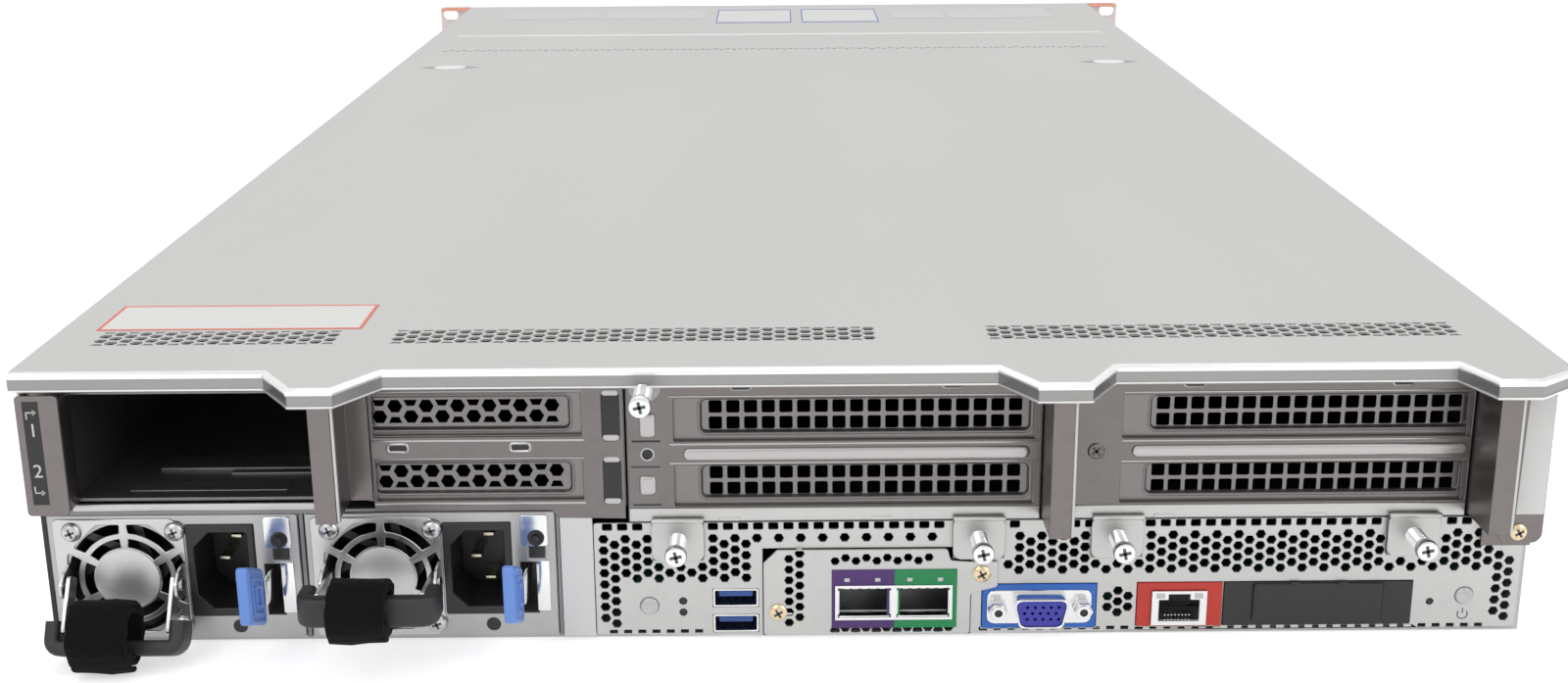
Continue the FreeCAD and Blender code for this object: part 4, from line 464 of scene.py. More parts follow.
    def pierced(self, outline, holes, near, far):
        """An upright sheet with many holes close together."""
        points, faces = [], []
        for ring in (outline, *holes):
            wound = ring if signed_area(ring) > 0 else ring[::-1]
            faces.append(list(range(len(points), len(points) + len(wound))))
            points += [Vector(point) for point in wound]
        made = delaunay_2d_cdt(points, [], faces, 1, 0.0001)
        piece = bmesh.new()
        corners = [piece.verts.new((point.x, point.y, near)) for point in made[0]]
        cells = [cell for cell, inside in zip(made[2], made[5]) if list(inside) == [0]]
        sheet = [piece.faces.new([corners[k] for k in cell]) for cell in cells]
        bmesh.ops.delete(piece, geom=[v for v in piece.verts if not v.link_faces], context="VERTS")
        thicken(piece, sheet, far - near)
        return self.take(piece, PLANES["XZ"])

    def bead(self, x, z, face, rise=0.8, radius=1.9):
        """A stiffening rib pressed outwards from an upright face."""
        crown = ((0, 0.3), (0, 0), (-0.25, -rise * 0.6), (-0.7, -rise * 0.92), (-1.3, -rise))
        return self.steps(x, z, radius, face, crown)

    def crosses(self, spots, front, size, turn):
        """The two crossing recesses of a screw drive, as dark bars on its head: painted shade."""
        half, thin = size / 2, size / 8
        for x, z in spots:
            for angle in (turn, turn + 90):
                cos, sin = math.cos(math.radians(angle)), math.sin(math.radians(angle))
                bar = rectangle((-half, half), (-thin, thin))
                outline = [(x + u * cos - v * sin, z + u * sin + v * cos) for u, v in bar]
                self.prism(outline, front - 0.05, front + 0.5, 0)

    def turned(self, axis, centre, degrees):
        """Turns all that has been gathered so far about a line."""
        turn = Matrix.Rotation(math.radians(degrees), 4, axis)
        shift = Matrix.Translation(centre)
        self.mesh.transform(shift @ turn @ shift.inverted())

    def place(self):
        """Hands the gathered solids to the scene."""
        name, slot, material, body, replaced, smooth = self.about
        data = bpy.data.meshes.new(name)
        self.mesh.to_mesh(data)
        self.mesh.free()
        data.transform(Matrix.Scale(MM, 4) @ self.shift)
        data.materials.append(material)
        data.shade_smooth()
        data.set_sharp_from_angle(angle=math.radians(smooth))
        made = show(name, data)
        if replaced:
            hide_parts(replaced)
        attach(made, body)


def hole_grid(x, z, across, column_pitch, row_pitch):
    """Hexagons in staggered columns that fill the given limits, cut at the edges."""
    holes = []
    column = 0
    u = x[0]
    while u <= x[1] + 0.01:
        v = z[0] + (row_pitch / 2 if column % 2 else 0)
        while v <= z[1] + row_pitch:
            hole = clipped(hexagon(u, v, across, 0), (x[0] - across, x[1] + across), z)
            if len(hole) > 2 and abs(signed_area(hole)) > across * across * 0.2:
                holes.append(hole)
            v += row_pitch
        u += column_pitch
        column += 1
    return holes


def signed_area(polygon):
    """Positive where the corners run anticlockwise."""
    total = 0
    for k, (u, v) in enumerate(polygon):
        total += polygon[k - 1][0] * v - u * polygon[k - 1][1]
    return total / 2


# --- the cover ------------------------------------------------------------------------------


VENT_COLUMN = 3.75
VENT_ROW = VENT_COLUMN * 2 / math.sqrt(3)


def rear_edge():
    """The rear edge of the roof from left to right: three blunt bumps."""
    (left, right), (rear, _), _ = limits("top_cover")
    edge = rear + 15
    path = [(left, edge)]
    for near, tip, tip_end, far in ((-146.8, -136.3, -123.5, -113.1), (58.7, 67.9, 83.2, 92.2)):
        path += [(near, edge), (tip, rear), (tip_end, rear), (far, edge)]
    return path + [(187.4, edge), (193.1, rear), (205.8, rear), (right, rear + 9)]


def top_cover():
    """The roof with its vents and folded sides, the rear edge's strips in painted highlight and painted
    shade, and the thumb dents as decals of painted shade and painted highlight.
    """
    (left, right), (_, front), (skirt, top) = limits("top_cover")
    holes = []
    for start, end in ((-202, -134), (-114.5, 25), (61, 199)):
        vents = hole_grid((start, end), (0, 3 * VENT_ROW), 3.4, VENT_COLUMN, VENT_ROW)
        holes += [[(u, v + 16.5) for u, v in vent] for vent in vents]
    for k in range(int(400 / VENT_COLUMN)):
        side = 1 if k % 2 else -1
        holes.append(hexagon(-200 + VENT_COLUMN * k, 577 + side * VENT_ROW / 4, 2.9, 0))
    part = Part("cover_roof", "cover_sheet", COVER, "cover", "top_cover")
    behind = inset(rear_edge(), 1.7)
    outline = [(left, front), (left, behind[0][1]), *behind[1:-1]]
    outline += [(right, behind[-1][1]), (right, front)]
    part.sheet(outline, holes, top - SHEET, top - 0.1, edge=0.1, plane="XY")
    for x in ((right - SHEET, right), (left, left + SHEET)):
        part.block(x, (-3, front), (skirt, top - 0.4), 0.3)
    # The lip and the fold at the hem's foot use the brighter finish, which is painted highlight; the
    # hem between them is darker, which is painted shade.
    edge_piece("cover_lip_painted_highlight", COVER_HIGHLIGHT, [(2.3, -0.14), (1.7, -0.1), (0.9, -0.25), (0.3, -0.7), (0, -1.3),
                                  (0.1, -1.9), (0.9, -1.9), (1.2, -1.2), (2.3, -0.9)])
    edge_piece("cover_hem_painted_shade", COVER_SHADE, [(0.5, -1.8), (0.5, -5.2), (0.9, -5.6), (1.4, -5.2), (1.4, -1.8)])
    edge_piece("cover_fold_painted_highlight", COVER_HIGHLIGHT, [(0.2, -5.1), (0.1, -5.5), (0.5, -5.9), (0.9, -5.5), (0.9, -5.1)])
    # A bright rounded strip along the seam in front of the cover: painted highlight.
    seam = Part("cover_seam_painted_highlight", "cover_sheet", COVER_HIGHLIGHT, "cover")
    seam.block((-203, 203), (front - 3.4, front - 0.2), (top - 0.7, top), 0.35, 3)
    for side, name, y in ((-1, "left", 515), (1, "right", 520)):
        x = side * 186.5
        # Each thumb dent is a flat dark lens decal, which is painted shade, with a pale oval on it,
        # which is painted highlight.
        hollow = Part(f"thumb_dent_painted_shade_{name}", "cover_sheet", COVER_SHADE, "cover")
        hollow.decal(lens(x, y, 17, 5), top, 0.03, 0.05)
        shine = Part(f"thumb_dent_painted_highlight_{name}", "cover_sheet", COVER_HIGHLIGHT, "cover")
        shine.decal(disc(0, 0, 1, 32), 0.04, 0.04)
        shine.mesh.transform(Matrix.Translation((x, y, top - 0.045)) @ Matrix.Diagonal((9, 6.5, 1, 1)))


def front_roof():
    """The fixed sheet in front of the cover, with its skirts."""
    (left, right), (near, far), (skirt, top) = limits("front_top_panel")
    part = Part("front_roof", "cover_sheet", COVER, replaced="front_top_panel")
    part.sheet(rectangle((left, right), (near, far)), [], top - SHEET, top - 0.1, edge=0.1, plane="XY")
    for x in ((right - SHEET, right), (left, left + SHEET)):
        part.block(x, (near, far), (skirt, top - 0.3), 0.3)


def edge_piece(name, material, section):
    """A strip along the roof's rear edge, from (distance inwards, height under the top) pairs."""
    part = Part(name, "cover_sheet", material, "cover")
    lines = [[(*point, TOP + height) for point in inset(rear_edge(), by)] for by, height in section]
    part.loft([[line[k] for line in lines] for k in range(len(rear_edge()))])


def lens(x, y, half, tall):
    """The outline of a thumb dent: two arcs that meet in points."""
    return [(x + half * u, y + tall * v * abs(v)) for u, v in disc(0, 0, 1)]


def bare_label(name, body, x, y, top, border):
    """A blank label: a white field in a coloured border."""
    Part(f"{name}_border", "cover_sheet", border, body).decal(rectangle(x, y), top, 0.045, 0.015)
    rim_x, rim_y = (x[1] - x[0]) * 0.014, (y[1] - y[0]) * 0.05
    field = rectangle((x[0] + rim_x, x[1] - rim_x), (y[0] + rim_y, y[1] - rim_y))
    Part(f"{name}_field", "cover_sheet", WHITE_PAPER, body).decal(field, top, 0.03)


def roof_labels():
    """Blank labels on the roof and its front, pale patches beside them and the ears' strips."""
    top = limits("front_top_panel")[2][1]
    bare_label("cover_label", "cover", (-207, -127.3), (30.5, 55.5), TOP, CORAL_PAPER)
    bare_label("front_label_a", "chassis", (-42, 8), (690, 755), top, BLUE_PAPER)
    bare_label("front_label_b", "chassis", (15, 66), (691, 756), top, BLUE_PAPER)
    patches = Part("front_patches", "cover_sheet", PATCH)
    for x, y in (((-184, -122), (712, 753)), ((-118, -50), (711, 753)), ((76, 111), (708, 753)),
                 ((114, 184), (706, 753))):
        patches.sheet(soft_box(x, y, 2), [], top - 0.04, top, 0.01, plane="XY")
    strips = Part("ear_strips", "cover_sheet", CORAL)
    ears = limits("front_ears")
    for x in ((-236.5, -218.5), (218.5, 236.5)):
        strips.sheet(rectangle(x, (ears[1][1] - 22, ears[1][1] - 1)), [], TOP - 0.05, TOP, 0.01, "XY")


# --- the rear panel -------------------------------------------------------------------------


PORT_HOLES = {
    "usb_high": ((-22.4, -8.8), (9.8, 15.6)),
    "usb_low": ((-22.4, -8.8), (1.6, 7.4)),
    "card": ((-7.6, 53.6), (0.6, 28.4)),
    "vga": ((56.8, 90.8), (2.2, 16.6)),
    "lan": ((102.5, 127.9), (2.4, 16.7)),
    "blank": ((127.9, 183.9), (2.4, 16.7)),
}
BARE = [((-49, -23), (0, 17.4)), ((-24, -5), (0, 18)), ((-9, 47), (0, 29.5)), ((45, 61), (17, 25)),
        ((55, 195), (0, 19)), ((183, 206), (0, 18.5)),
        ((-39.8, -24.2), (25, 40)), ((47.8, 63.6), (25, 40)), ((88.4, 104.4), (25, 40)),
        ((174.4, 190.6), (25, 40)), ((208, 220), (27, 40))]


LIGHTS = ((-31.1, 11.8), (-31.1, 8.2), (189.3, 9.7))
BUTTONS = {"id_button": (-41, 10.4), "rear_power_button": (199.3, 11.6)}
FRAME_SCREW, POCKET_SCREW = (88.7, 58.3), (-40.4, 58.3)
HEX_ACROSS = 2.6
HEX_COLUMN, HEX_ROW = 3.2, 3.6
COMB_PITCH, TEETH_PITCH = 4.4, 4.2


def rear_panel():
    """The pierced sheet round the ports: the lattice, the comb above it and the teeth below."""
    (left, right), (near, far), (low, high) = limits("rear_io_panel")
    holes = [rectangle(*place) for place in PORT_HOLES.values()]
    holes += [disc(x, z, 2.75) for x, z in BUTTONS.values()]
    holes += [disc(*LIGHTS[2], 1.1), disc(*LIGHTS[0], 1.2, 12), disc(*LIGHTS[1], 1.2, 12)]
    cluster = [(97, 10.5), *hexagon(97, 10.5, 3.5 * math.sqrt(3))]
    holes += [hexagon(x, z, HEX_ACROSS, 0) for x, z in cluster]
    column = 0
    x = left + 2.8
    while x < right - 2:
        z = 31.7 - (HEX_ROW / 2 if column % 2 else 0)
        while z > 4:
            bare = any(a[0] - 1 < x < a[1] + 1 and b[0] - 1 < z < b[1] + 1 for a, b in BARE)
            if not bare and not (194 < x < 206 and z < 19):
                holes.append(hexagon(x, z, HEX_ACROSS, 0))
            z -= HEX_ROW
        x += HEX_COLUMN
        column += 1
    for k in range(int((right - left - 6) / COMB_PITCH)):
        x = left + 4 + COMB_PITCH * k
        if not (any(a[0] < x < a[1] for a, b in BARE if b[1] > 36) or 66 < x < 81 or x > 207):
            holes.append(rounded(rectangle(centred(x, 2.9), (34.4, 36.6)), 0.3, 1))
    for k in range(int((right - left - 8) / TEETH_PITCH)):
        x = left + 5 + TEETH_PITCH * k
        if not -24 <= x < 57:
            holes.append(rectangle(centred(x, 2.3), (low + 0.3, low + 1.4)))
    part = Part("pierced_panel", "zinc_sheet", PANEL_AND_HIGHLIGHT, replaced="rear_io_panel")
    part.sheet(rounded(rectangle((left, right), (low, high)), 1), holes, near, far, edge=0.1)


SLOTS = {
    1: ((-119.2, -59.1), (44.4, 57.0), (64.0, 77.3)),
    2: ((-32.8, 71.6), (42.0, 54.9), (62.1, 75.2)),
    3: ((96.0, 196.3), (42.2, 54.3), (62.1, 75.3)),
}


def hexagon_slots(middle, row):
    """Cage 1's pattern: hexagons in turn above and below the middle, with a cut one opposite each."""
    holes = []
    for k in range(12):
        u = (-117.1 if row else -116.5) + 4.5 * k + 0.003 * (k % 3)
        up = 1 if k % 2 else -1
        holes.append(hexagon(u, middle + up * 1.6, 3.75, 0))
        flat, tip = middle - up * 3.5, middle - up * 1.7
        holes.append([(u - 1.9, flat), (u + 1.9, flat), (u + 1.1, tip), (u - 1.1, tip)])
    return holes


def square_slots(middle, first, pitch):
    """The pattern of cages 2 and 3: two rows of square holes."""
    holes = []
    for k in range(18):
        for side in (-1, 1):
            across = centred(first + pitch * k + 0.003 * (k % 3), 3.8)
            square = rectangle(across, centred(middle + side * 2.47 + 0.002 * (k % 2), 3.8))
            holes.append(rounded(square, 0.55, 2))
    return holes


def slot_plates():
    """The pierced plates behind the slots, each with its rounded pan."""
    near = limits("slot_covers")[1][0]
    part = Part("slot_plates", "zinc_sheet", PLATE, replaced="slot_covers")
    for cage, (x, *bands) in SLOTS.items():
        for row, band in enumerate(bands):
            pan_z = (band[0] + (1.6 if cage == 1 else 1.9), band[1] - (1.2 if cage == 1 else 0.5))
            middle = sum(pan_z) / 2 + (0.117 if cage == 1 else -0.083) + 0.029 * row
            if cage == 1:
                pan_x, holes = (-119.6 - 0.5 * row, -62.2), hexagon_slots(middle, row)
            elif cage == 2:
                pan_x, holes = (-25.4, 70.0), square_slots(middle, -20.8, 86.3 / 17)
            else:
                pan_x = (103.3 + 0.6 * row, 195.9 + 0.4 * row)
                holes = square_slots(middle, 107.4 + 0.6 * row, 84 / 17)
            out = 2.5 if cage == 1 else 0.4
            plate = rectangle((x[0] - out, x[1] + 0.4), (band[0] - 0.5, band[1] + 0.5))
            part.sheet(plate, [soft_box(pan_x, pan_z, 2, 0.4)], near, near + 0.4, 0.05)
            part.pan(pan_x, pan_z, near, 1.3, holes)


def cage_faces():
    """Thin faces over the cages: crisp slot edges, beads, small slots and pressed bosses, with painted
    highlight on the raised parts and edges and painted shade in the openings.
    """
    near, far = -0.42, -0.02
    faces = Part("cage_faces", "zinc_sheet", CAGE)
    rims = Part("cage_rims_painted_highlight", "zinc_sheet", CAGE_HIGHLIGHT)
    dark = Part("cage_slot_shade", "black_plastic", BLACK)
    outlines = {1: (-119.6, -47.1), 2: (-46.1, 72.9), 3: (80.2, 196.7)}
    cuts = {k: [soft_box(SLOTS[k][0], band, 0.5) for band in SLOTS[k][1:]] for k in outlines}
    for low, high in ((42.8, 57.6), (62.4, 77.9)):
        cuts[1].append(soft_box((-53.3, -48.1), (low, high), 1.6))
        # A dark sheet behind each tall opening: painted shade.
        dark.sheet(rectangle((-53.4, -48.0), (low + 1, high - 1)), [], far - 0.06, far, 0.01)
        for z in ((low, low + 1.9), (high - 1.7, high)):
            rims.prism(soft_box((-53.1, -48.3), z, 0.8), far - 0.2, far, 0.15)
    latches = ((1, (-114.4, -109.6), 60.7), (1, (-79.3, -74.5), 60.7), (2, (-15.7, -10.9), 79.0),
               (2, (44.6, 49.4), 79.2), (3, (113.6, 118.6), 79.0), (3, (173.2, 178.2), 79.0))
    latch_rim = ((0.9, 0), (0.45, -0.3), (0, 0.05), (0, 0.4), (0.9, 0.4))
    # Latch rims in the lighter steel are painted highlight; the dark sheets behind the cuts are painted
    # shade.
    for cage, x, z in latches:
        band = centred(z, 1.5)
        cuts[cage].append(soft_box(x, band, 0.5, 0.1))
        rims.steps(x, band, 0.5, near, latch_rim, ring=True)
        dark.sheet(rectangle(x, band), [], far - 0.1, far, 0.01)
    for x in ((-79.8, -75.0), (-56.5, -49.8), (-114, -109), (-8.2, -1.6), (121.5, 128.0)):
        # Dark strips for the small slots along the top: painted shade.
        dark.sheet(rectangle(x, (80.15, 80.95)), [], near - 0.06, near - 0.01, 0.01)
    cuts[2].append(disc(*POCKET_SCREW, 1.5, 20))
    # A dark disc in the pocket screw's hole: painted shade.
    dark.sheet(disc(*POCKET_SCREW, 1.4, 20), [], far - 0.06, far, 0.01)
    for k, x in outlines.items():
        outline = rectangle(x, (41.5, 80.9))
        if k == 1:
            foot = [(x[0], 41.2), (-68.5, 41.2), (-66.8, 38.8), (x[1], 38.4)]
            outline = foot + outline[2:]
        faces.sheet(outline, cuts[k], near, far, 0.12)
    # Pressed beads in the lighter steel: painted highlight on real ribs.
    for x, z in (((-30.2, 69.7), (56.2, 60.2)), ((98.8, 195.8), (56.3, 60.1))):
        rims.bead(x, z, near + 0.02)
    # Thin light strips along the window edges: painted highlight only.
    for x, z in (((-34, 72.6), (61.0, 61.6)), ((-34, 72.6), (55.2, 55.7)), ((-34, 72.6), (75.6, 76.1)),
                 ((96, 196.5), (61.1, 61.6)), ((96, 196.5), (54.8, 55.3)), ((96, 196.5), (75.9, 76.4)),
                 ((-119.4, -58.5), (62.6, 63.3)), ((-119.4, -58.5), (43.2, 43.9)),
                 ((-119.4, -58.5), (77.7, 78.1)), ((-119.4, -58.5), (57.2, 57.6))):
        rims.block(x, (near - 0.18, near + 0.1), z, 0.12)
    # Pressed bosses and the rims round the two screws, in the lighter steel: painted highlight.
    for x, z in (((-42.6, -37.9), (63.4, 70.9)), ((-43.0, -38.1), (45.7, 51.7))):
        rims.bead(x, z, near + 0.02, 0.7, 1.2)
    rims.loft([upright(disc(*POCKET_SCREW, radius, 24), near + along)
               for radius, along in ((2.2, 0.02), (2.0, -0.2), (1.6, -0.2), (1.5, 0.1))], ring=True)
    rims.loft([upright(disc(*FRAME_SCREW, radius, 28), along)
               for radius, along in ((4.0, -0.05), (3.5, -0.35), (2.9, -0.2), (2.7, 0))])
    bands = Part("cage_feet_with_highlight", "zinc_sheet", PANEL_AND_HIGHLIGHT)
    # Light bands along the cages' folded feet: painted highlight.
    for x in ((-46.1, 72.9), (80.2, 196.7)):
        bands.block(x, (near - 0.25, 0), (37.5, 41.5), 0.5, 3)
        for u in (x[0] + 29, x[0] + 73):
            bands.block(centred(u, 6), (near - 0.5, near), (37.6, 38.7), 0.3, 2)
    for x in (-32.2, 55.5, 95.8, 182.2):
        plate = soft_box(centred(x, 15.2), (25.2, 38.4), 2.6)
        bands.sheet(plate, [], -1.75, -1.35, 0.12)
        bands.block(centred(x, 15.4), (-2.5, -1.2), (37.4, 38.9), 0.6, 3)
    # Thin dark strips beside the pressed bosses: painted shade.
    for x, z in (((-44.8, -36.6), (62.0, 62.6)), ((-44.8, -36.6), (42.4, 42.9)),
                 ((-45.2, -36.9), (54.2, 54.6))):
        dark.sheet(rectangle(x, z), [], near - 0.05, near - 0.01, 0.01)
    # A dark sheet in the shape of the screw's pocket: painted shade.
    pocket = Part("cover_screw_pocket_shade", "zinc_sheet", COVER_SHADE)
    hollow = [(-46.2, 80.9), (-35.4, 80.9), (-36.6, 76.6), (-38.6, 74.6), (-43.0, 74.6), (-45.0, 76.6)]
    pocket.sheet(rounded(hollow, 1.4), [], near - 0.05, near - 0.01, 0.01)


def frame_details():
    """The brackets that stand proud at both ends of the frame, painted highlight on the posts' folds,
    and the bay's floor.
    """
    proud = -7.6
    brackets = Part("end_brackets", "zinc_sheet", ZINC)
    left = soft_box((-216.5, -204.4), (44.0, 80.2), 1.2)
    right = soft_box((203.6, 216.5), (32.0, 80.2), 3.0)
    for outline, fold, low in ((left, (-205.1, -204.4), 45.2), (right, (203.6, 204.3), 35.0)):
        brackets.sheet(outline, [], proud - 0.7, proud, 0.2)
        brackets.block(fold, (proud - 0.5, -0.1), (low, 79.0), 0.2)
    # Light strips on the folds of the posts and the frame: painted highlight.
    folds = Part("post_fold_highlights", "zinc_sheet", PANEL_AND_HIGHLIGHT)
    for x, low in ((-126.4, 45.0), (79.45, 38.6), (203.25, 38.6)):
        folds.block((x - 0.1, x + 0.9), (-17.0, -15.4), (low, 80.2), 0.4, 3)
    folds.block((-206.4, -133.6), (-1.7, -1.02), (42.4, 44.6), 0.3, 3)
    folds.block((-204.0, -135.0), (-1.4, -0.2), (79.0, 79.9), 0.3)
    rails = Part("bay_rails", "zinc_sheet", DARK_ZINC)
    rails.block((-192, -146), (5, 11), (45.5, 46.1), 0.25, 3)
    rails.block((-188, -140), (20, 29), (45.5, 47.0), 0.3)
    rails.block((-166, -140), (17, 21), (45.5, 46.6), 0.3)
    label = Part("side_label", "cover_sheet", WHITE_PAPER)
    corners = [(208.2, 41.0), (216.2, 41.0), (216.3, 77.0), (208.8, 77.0)]
    label.sheet(corners, [], proud - 0.8, proud - 0.72, 0.02)


def scaled(radius, profile):
    """A turned profile from (share of the radius, distance) pairs."""
    return [(radius * share, along) for share, along in profile]


def panel_screws():
    """Three yellow screws and a dark one, with cross recesses."""
    heads = Part("panel_screw_heads", "screw_gold", GOLD, replaced="panel_screws")
    # The drives' cross recesses are dark bars: painted shade.
    drives = Part("panel_screw_drives", "black_plastic", DARK_INK_AND_SHADE)
    crown = ((1, 0.3), (1, -0.5), (0.8, -1.0), (0.4, -1.25), (0, -1.3))
    for x, z, face, radius in ((-3.1, 8.5, 1, 2.6), (56.6, 20.4, 1, 2.6), (209.4, 35.6, 8.3, 2.5)):
        heads.lathe("Y", (x, -face, z), scaled(radius, crown), 28)
        drives.crosses([(x, z)], -face - 1.32, radius * 1.1, 30)
    dark = Part("frame_screw", "black_plastic", DARK_STEEL)
    x, z = FRAME_SCREW
    dark.lathe("Y", (x, 0, z), [(2.5, 0.1), (2.5, -0.5), (2.1, -0.85), (0, -0.9)], 28)
    drives.crosses([FRAME_SCREW], -0.93, 3.2, 40)


def thumbscrews():
    """The captive screws: a knurled neck and a wide head with a cross recess."""
    head = ((0, 0.3), (0.72, 0.1), (0.92, 0.35), (1, 0.9), (1, 2.4), (0.94, 2.8))
    knurl = ((0.7, 0.1), (0.82, 0.45), (0.82, 0.8), (0.7, 1.15))
    for body in ("cover_screw", *(f"riser_screw_{k}" for k in (1, 2, 3, 4))):
        (x0, x1), (y0, y1), (z0, z1) = limits(body)
        x, z, radius = (x0 + x1) / 2, (z0 + z1) / 2, (x1 - x0) / 2
        profile = [(share, y0 + along) for share, along in head]
        neck = y0 + 3.0
        while neck < y1 - 3.4:
            profile += [(share, neck + along) for share, along in knurl]
            neck += 1.3
        profile += [(0.62, neck + 0.3), (0.62, y1), (0, y1)]
        part = Part(f"{body}_head", "screw_steel", CHROME, body, body)
        part.lathe("Y", (x, 0, z), scaled(radius, profile), 32)
        # The cross recess is dark bars: painted shade.
        recess = Part(f"{body}_drive", "black_plastic", DARK_INK_AND_SHADE, body)
        recess.crosses([(x, z)], y0 + 0.12, radius * 1.1, 12)


def usb_ports():
    """Two sockets with their tongues and contacts."""
    shells = Part("usb_shells", "zinc_sheet", CHROME, replaced="usb_ports")
    tongues = Part("usb_tongues", "vga_blue", USB_BLUE)
    inserts = Part("usb_insides", "black_plastic", BLACK)
    for low in (1.7, 9.9):
        outer = rounded(rectangle((-22.3, -8.9), (low, low + 5.6)), 0.5, 2)
        inner = rounded(rectangle((-21.7, -9.5), (low + 0.5, low + 5.1)), 0.3, 2)
        shells.sheet(outer, [inner], 0, 14, edge=0.08)
        tongues.block((-20.6, -10.6), (0.8, 12), (low + 2.9, low + 4.7), 0.2)
        inserts.block((-21.6, -9.6), (11.5, 14), (low + 0.6, low + 5.0), 0.1)
        for k in range(4):
            x = -18.9 + 2.2 * k
            shells.block(centred(x, 0.9), (1.4, 9), (low + 2.75, low + 2.95), 0.05)


def card_bracket():
    """The network card's plate: its own pierced border round the two coloured frames."""
    (left, _), (near, far), (low, high) = limits("ocp_bracket")
    right = 53.4
    outline = [(left, low), (right, low), (right, 14), (61.4, 16), (61.4, 24.2), (right, 24.2)]
    outline += [(47.4, 24.6), (46.6, high), (left + 4, high), (left, high - 4)]
    mouths = [rectangle((14.4, 30.0), (7.2, 16.4)), rectangle((31.6, 47.2), (7.2, 16.4))]
    holes = [rounded(mouth, 0.3, 1) for mouth in mouths]
    for x in (left + 7.5, left + 10.6):
        odd = x > left + 8
        for k in range(7):
            holes.append(hexagon(x, 5 + 3.4 * k + (1.7 if odd else 0), 2.4, 0))
    for k in range(12):
        x = 13.6 + 3.05 * k
        holes.append(clipped(hexagon(x, 2.3, 2.6, 0), (0, 60), (1.7, 4)) if k % 2 == 0 else
                     clipped(hexagon(x, 3.2, 2.6, 0), (0, 60), (1.7, 3.2)))
        if x < 44:
            holes.append(hexagon(x, 24.6 + (1.0 if k % 2 else 0), 2.3, 0))
    plate = Part("card_plate", "zinc_sheet", PANEL_AND_HIGHLIGHT, replaced="ocp_bracket")
    plate.sheet(rounded(outline, 1.2), holes, near, far, 0.15)
    port_frames = (("left", (12.6, 31.0), (14.8, 28.8), PLATE_PURPLE),
                   ("right", (31.0, 49.4), (32.6, 46.8), PLATE_GREEN))
    for name, x, mouth_x, material in port_frames:
        mouth = rectangle(mouth_x, (7.4, 16.2))
        slots = [rectangle(centred(x[0] + 9 + k, 1.6), (17.9, 19.3)) for k in (-4.5, 4.5)]
        frame_piece = Part(f"port_frame_{name}", "black_plastic", material)
        frame_piece.sheet(rectangle(x, (3.3, 21.9)), [mouth, *slots], near - 0.35, near + 0.1, 0.05)
    springs = Part("cage_springs", "zinc_sheet", CHROME)
    for x in (22.2, 39.4):
        for k in range(5):
            place = centred(x - 5.2 + 2.6 * k, 1.9)
            springs.block(place, (near - 0.9, near + 3), (16.1, 16.9), 0.2)
        for side in (-1, 1):
            springs.block(centred(x + side * 7.6, 0.5), (near - 0.8, near + 3), (8, 15.6), 0.15)
        springs.block((x - 7.4, x + 7.4), (near - 0.8, near + 3), (7.0, 7.5), 0.15)


def display_port():
    """The blue plate, the shell, its two jacks and the pin holes, with painted shade inside the holes.
    """
    (x_low, x_high), _, (low, high) = limits("vga_port")
    middle = (x_low + x_high) / 2
    height = (low + high) / 2
    plate = Part("display_plate", "vga_blue", PLATE_BLUE, replaced="vga_port")
    plate.sheet(rectangle((x_low, x_high), (low, high)), [], -0.3, 0.8, 0.1)
    shell = Part("display_shell", "screw_steel", CHROME)

    def trapezium(grow):
        top, foot, tall = 8.2 + grow, 6.4 + grow, 4.6 + grow
        corners = [(middle - foot, height - tall), (middle + foot, height - tall)]
        corners += [(middle + top, height + tall), (middle - top, height + tall)]
        return rounded(corners, 2.0)

    shell.sheet(trapezium(0), [trapezium(-0.5)], -5.8, 0, 0.15)
    ears = rounded(rectangle(centred(middle, 30.8), centred(height, 10.6)), 2.5)
    shell.sheet(ears, [], -0.9, -0.2, 0.15)
    for side in (-1, 1):
        x = middle + side * 12.5
        shell.prism(hexagon(x, height, 5.0, 0), -4.6, -0.9, 0.3)
        shell.lathe("Y", (x, -5.0, height), [(1.2, 0), (2.1, 0), (2.3, 0.6), (2.3, 1)], 20)
    insert = Part("display_insert", "vga_blue", VGA_BLUE)
    pins = [disc(middle - 5.2 + 2.3 * k + shift, height + z, 0.5, 8)
            for z, shift in ((1.9, 1.1), (0, 0.3), (-1.9, 1.1)) for k in range(5)]
    insert.sheet(trapezium(-0.6), pins, -5.2, -3.2, 0.08)
    # Dark discs in the jack screws' holes and a dark sheet behind the pin holes: painted shade.
    holes = Part("jack_hole_shade", "black_plastic", BLACK)
    for side in (-1, 1):
        holes.prism(disc(middle + side * 12.5, height, 1.2, 12), -4.62, -4.4, 0)
    holes.prism(trapezium(-0.7), -3.3, -3.1, 0)


